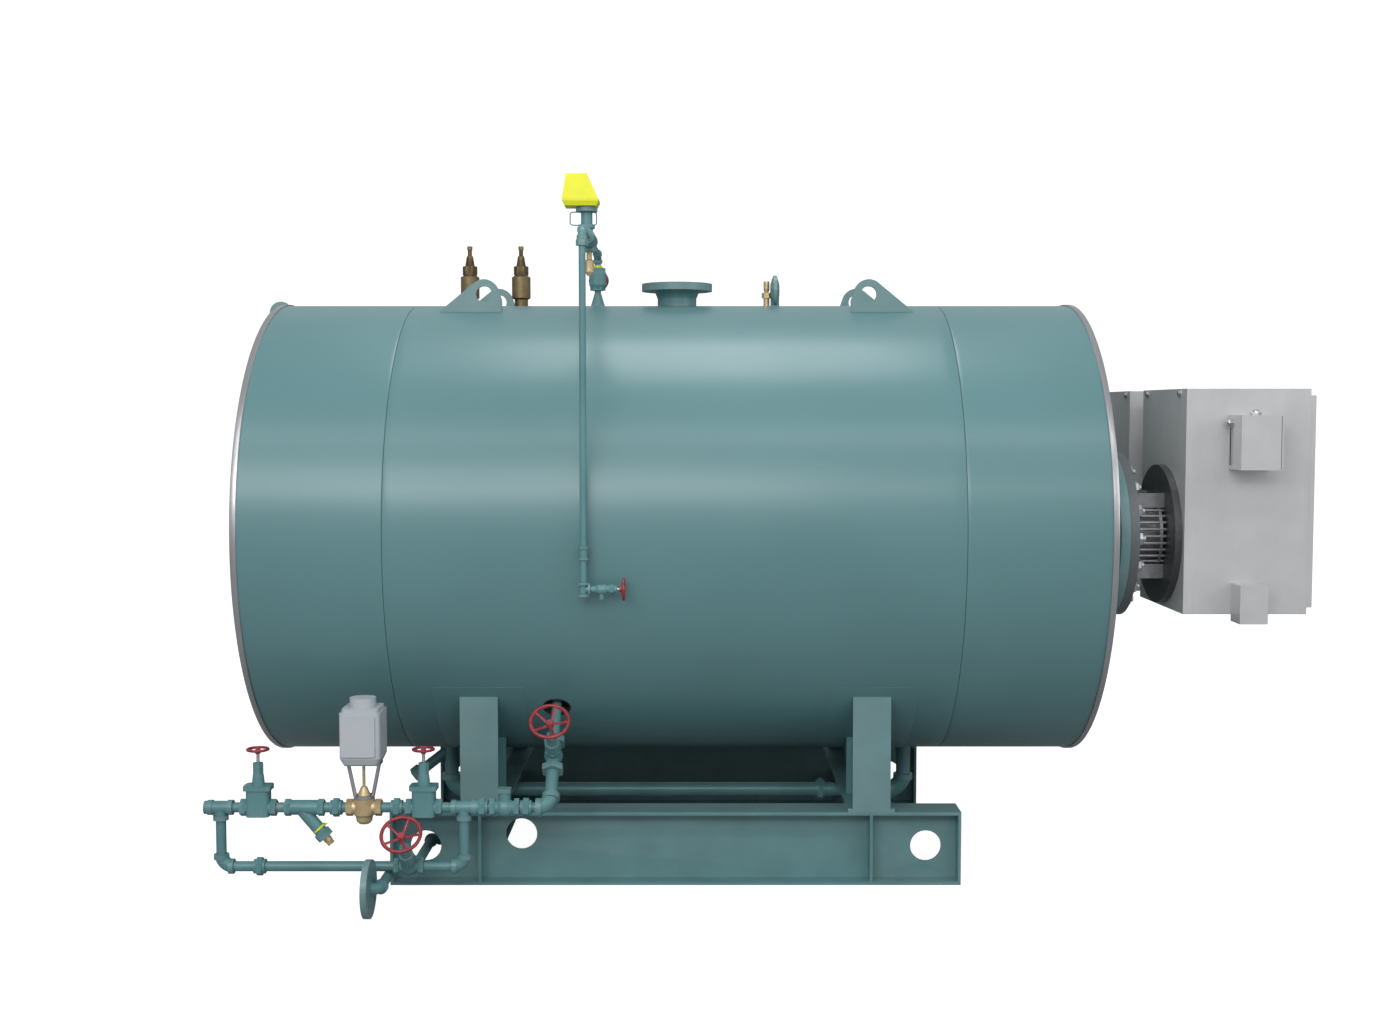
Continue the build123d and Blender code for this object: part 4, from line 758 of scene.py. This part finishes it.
def buildStems():
    parts = []
    for joint in frame["joints"]:
        axis = np.array(joint["axis"])
        length = stemSet["gateLength"] if joint["child"].startswith("gate") else stemSet["length"]
        start = np.array(joint["pos_m"]) - axis * (stemSet["gap"] + length)
        parts.append(threadedStem(start, axis, length))
    makePiece("Valve_stems", parts, "zincSteel")
    print("stage: valve stems")


# The yellow ring and the wire frame of the water column

columnSet = {
    "ring": ((0.3, 9.8), (0.3, 14), (6.24, 14), (7.8, 11.9), (7.8, 9.8)),  # millimetres up and out
    "ringSteps": 40,
    "frameWide": 71 * mm, "frameHigh": 35 * mm, "frameX": -9 * mm, "frameY": -500 * mm,
    "frameDrop": 13.6 * mm, "frameWire": 1.6 * mm, "frameSides": 10, "frameSteps": 64,
    "frameCorner": 0.28,  # 1 is an oval, 0 a square
}


def squared(wave):
    # A cosine or sine raised to a small power, with its sign kept: it turns a circle into a rounded square.
    return np.sign(wave) * abs(wave) ** columnSet["frameCorner"]


def buildRingAndFrame():
    item = columnSet
    valveLow, valveHigh = boxOf("column_top_valve")
    riserX, headBottom = (valveLow[0] + valveHigh[0]) / 2, boxOf("probe_head")[0][2]
    ring = lathe([(along * mm, radius * mm) for along, radius in item["ring"]], (riserX, 0, valveHigh[2]),
                 (0, 0, 1), item["ringSteps"])
    makePiece("Valve_ring", [ring], "yellowPlastic")
    # The frame hangs under the probe's flange.
    turn = np.linspace(0, 2 * np.pi, item["frameSteps"], endpoint=False)
    half = np.array([item["frameWide"], 0, item["frameHigh"]]) / 2
    middle = np.array([riserX + item["frameX"], item["frameY"], headBottom - item["frameDrop"] - half[2]])
    path = middle + half * np.stack([squared(np.cos(turn)), 0 * turn, squared(np.sin(turn))], -1)
    frameTube = tube(path, item["frameWire"], item["frameSides"], (0, 1, 0), closed=True)
    makePiece("Probe_frame", [frameTube], "tealPaint")


# The tag wire on the strainer's leg

tagSet = {
    "legDegrees": 50, "legX": 39 * mm, "legDrop": 20 * mm,  # where the leg leaves the strainer's body
    "place": 74 * mm, "advance": 6 * mm,  # from there down the leg, and on from its first turn to its last
    "radius": 18.5 * mm, "turns": 2.3, "flare": 0.3, "flarePower": 6,
    "wire": 1.3 * mm, "sides": 8, "steps": 120,
}


def buildTagWire():
    # A coil round the leg that advances evenly. Its radius grows by the flare times a high power of the
    # share run through, so that only the loose end stands off.
    item = tagSet
    low, high = boxOf("y_strainer")
    angle = math.radians(item["legDegrees"])
    leg, side, other = crossPair((math.cos(angle), 0, -math.sin(angle)))
    root = np.array([low[0] + item["legX"], (low[1] + high[1]) / 2, high[2] - item["legDrop"]])
    share = np.linspace(0, 1, item["steps"])
    along = (item["place"] + item["advance"] * share)[:, None]
    radius = (item["radius"] * (1 + item["flare"] * share ** item["flarePower"]))[:, None]
    path = root + leg * along + radius * circle(2 * np.pi * item["turns"] * share, side, other)
    makePiece("Tag_wire", [tube(path, item["wire"], item["sides"], leg)], "yellowPlastic")


def buildColumnAndStrainer():
    buildRingAndFrame()
    buildTagWire()
    print("stage: column and strainer parts")


# Finishes of the solids that stay

nodeFinish = {
    "tealPaint": ("left_end_cover", "right_end_cover", "end_lifting_eye", "steam_nozzle", "lifting_lugs",
                  "vent_fitting", "column_top_valve", "column_run", "column_tube", "column_drain_valve",
                  "base_beam_front", "base_beam_rear", "base_cross_members", "saddle_left", "saddle_right",
                  "feed_pipe", "gate_valve_left", "gate_valve_right", "y_strainer", "check_valve",
                  "bypass_pipe", "bypass_valve", "feed_stop_valve", "blowdown_header", "blowdown_outlet",
                  "vessel_flanges"),
    "darkBronze": ("safety_valves",),
    "bronze": ("vent_cock", "column_air_vent", "strainer_plug", "control_valve"),
    "yellowPlastic": ("probe_head",),
    "castAlloy": ("control_yoke",),
    "actuatorPlastic": ("actuator",),
    "flangeGrey": ("heater_flanges",),
    "elementMetal": ("element_standoffs", "standoff_straps"),
    "panelGrey": ("terminal_cabinets", "cabinet_doors", "cabinet_boxes"),
    "discSteel": ("cabinet_discs",),
}


def dressNodes():
    for name, nodes in nodeFinish.items():
        for node in nodes:
            for place in cadNodes[node].material_slots:
                place.material = finishes[name]
    print("stage: finishes on the solids")


# Studio floor, in metres

floorSet = {
    "halfWidth": 30, "front": -12, "flat": 30, "curve": 6, "flatShare": 0.6, "sunk": 0.0005, "lines": (3, 40),
}


def buildFloor():
    # Flat from the front for its flat share, then a quarter circle up: its run is the curve's radius times
    # the turn's sine, and its rise the radius times one less the cosine.
    item = floorSet
    rows, columns = item["lines"]
    across = np.linspace(-item["halfWidth"], item["halfWidth"], rows)[:, None]
    share = np.linspace(0, 1, columns)[None, :]
    turn = np.clip((share - item["flatShare"]) / (1 - item["flatShare"]), 0, 1) * np.pi / 2
    flat = item["front"] + item["flat"] * np.minimum(share / item["flatShare"], 1)
    back = flat + item["curve"] * np.sin(turn)
    rise = item["curve"] * (1 - np.cos(turn)) - item["sunk"]
    points, faces = surface(np.stack(np.broadcast_arrays(across, back, rise), -1))
    mesh = bpy.data.meshes.new("studioFloor")
    mesh.from_pydata(points.tolist(), [], faces.tolist())
    mesh.materials.append(finishes["floorPale"])
    floor = bpy.data.objects.new("studioFloor", mesh)
    bpy.context.scene.collection.objects.link(floor)


buildJacket()
buildTrimRings()
buildSeamPanels()
buildWheels()
buildFlangeBolts()
buildCabinetParts()
buildStems()
buildColumnAndStrainer()
dressNodes()
buildFloor()

print("stage: done")
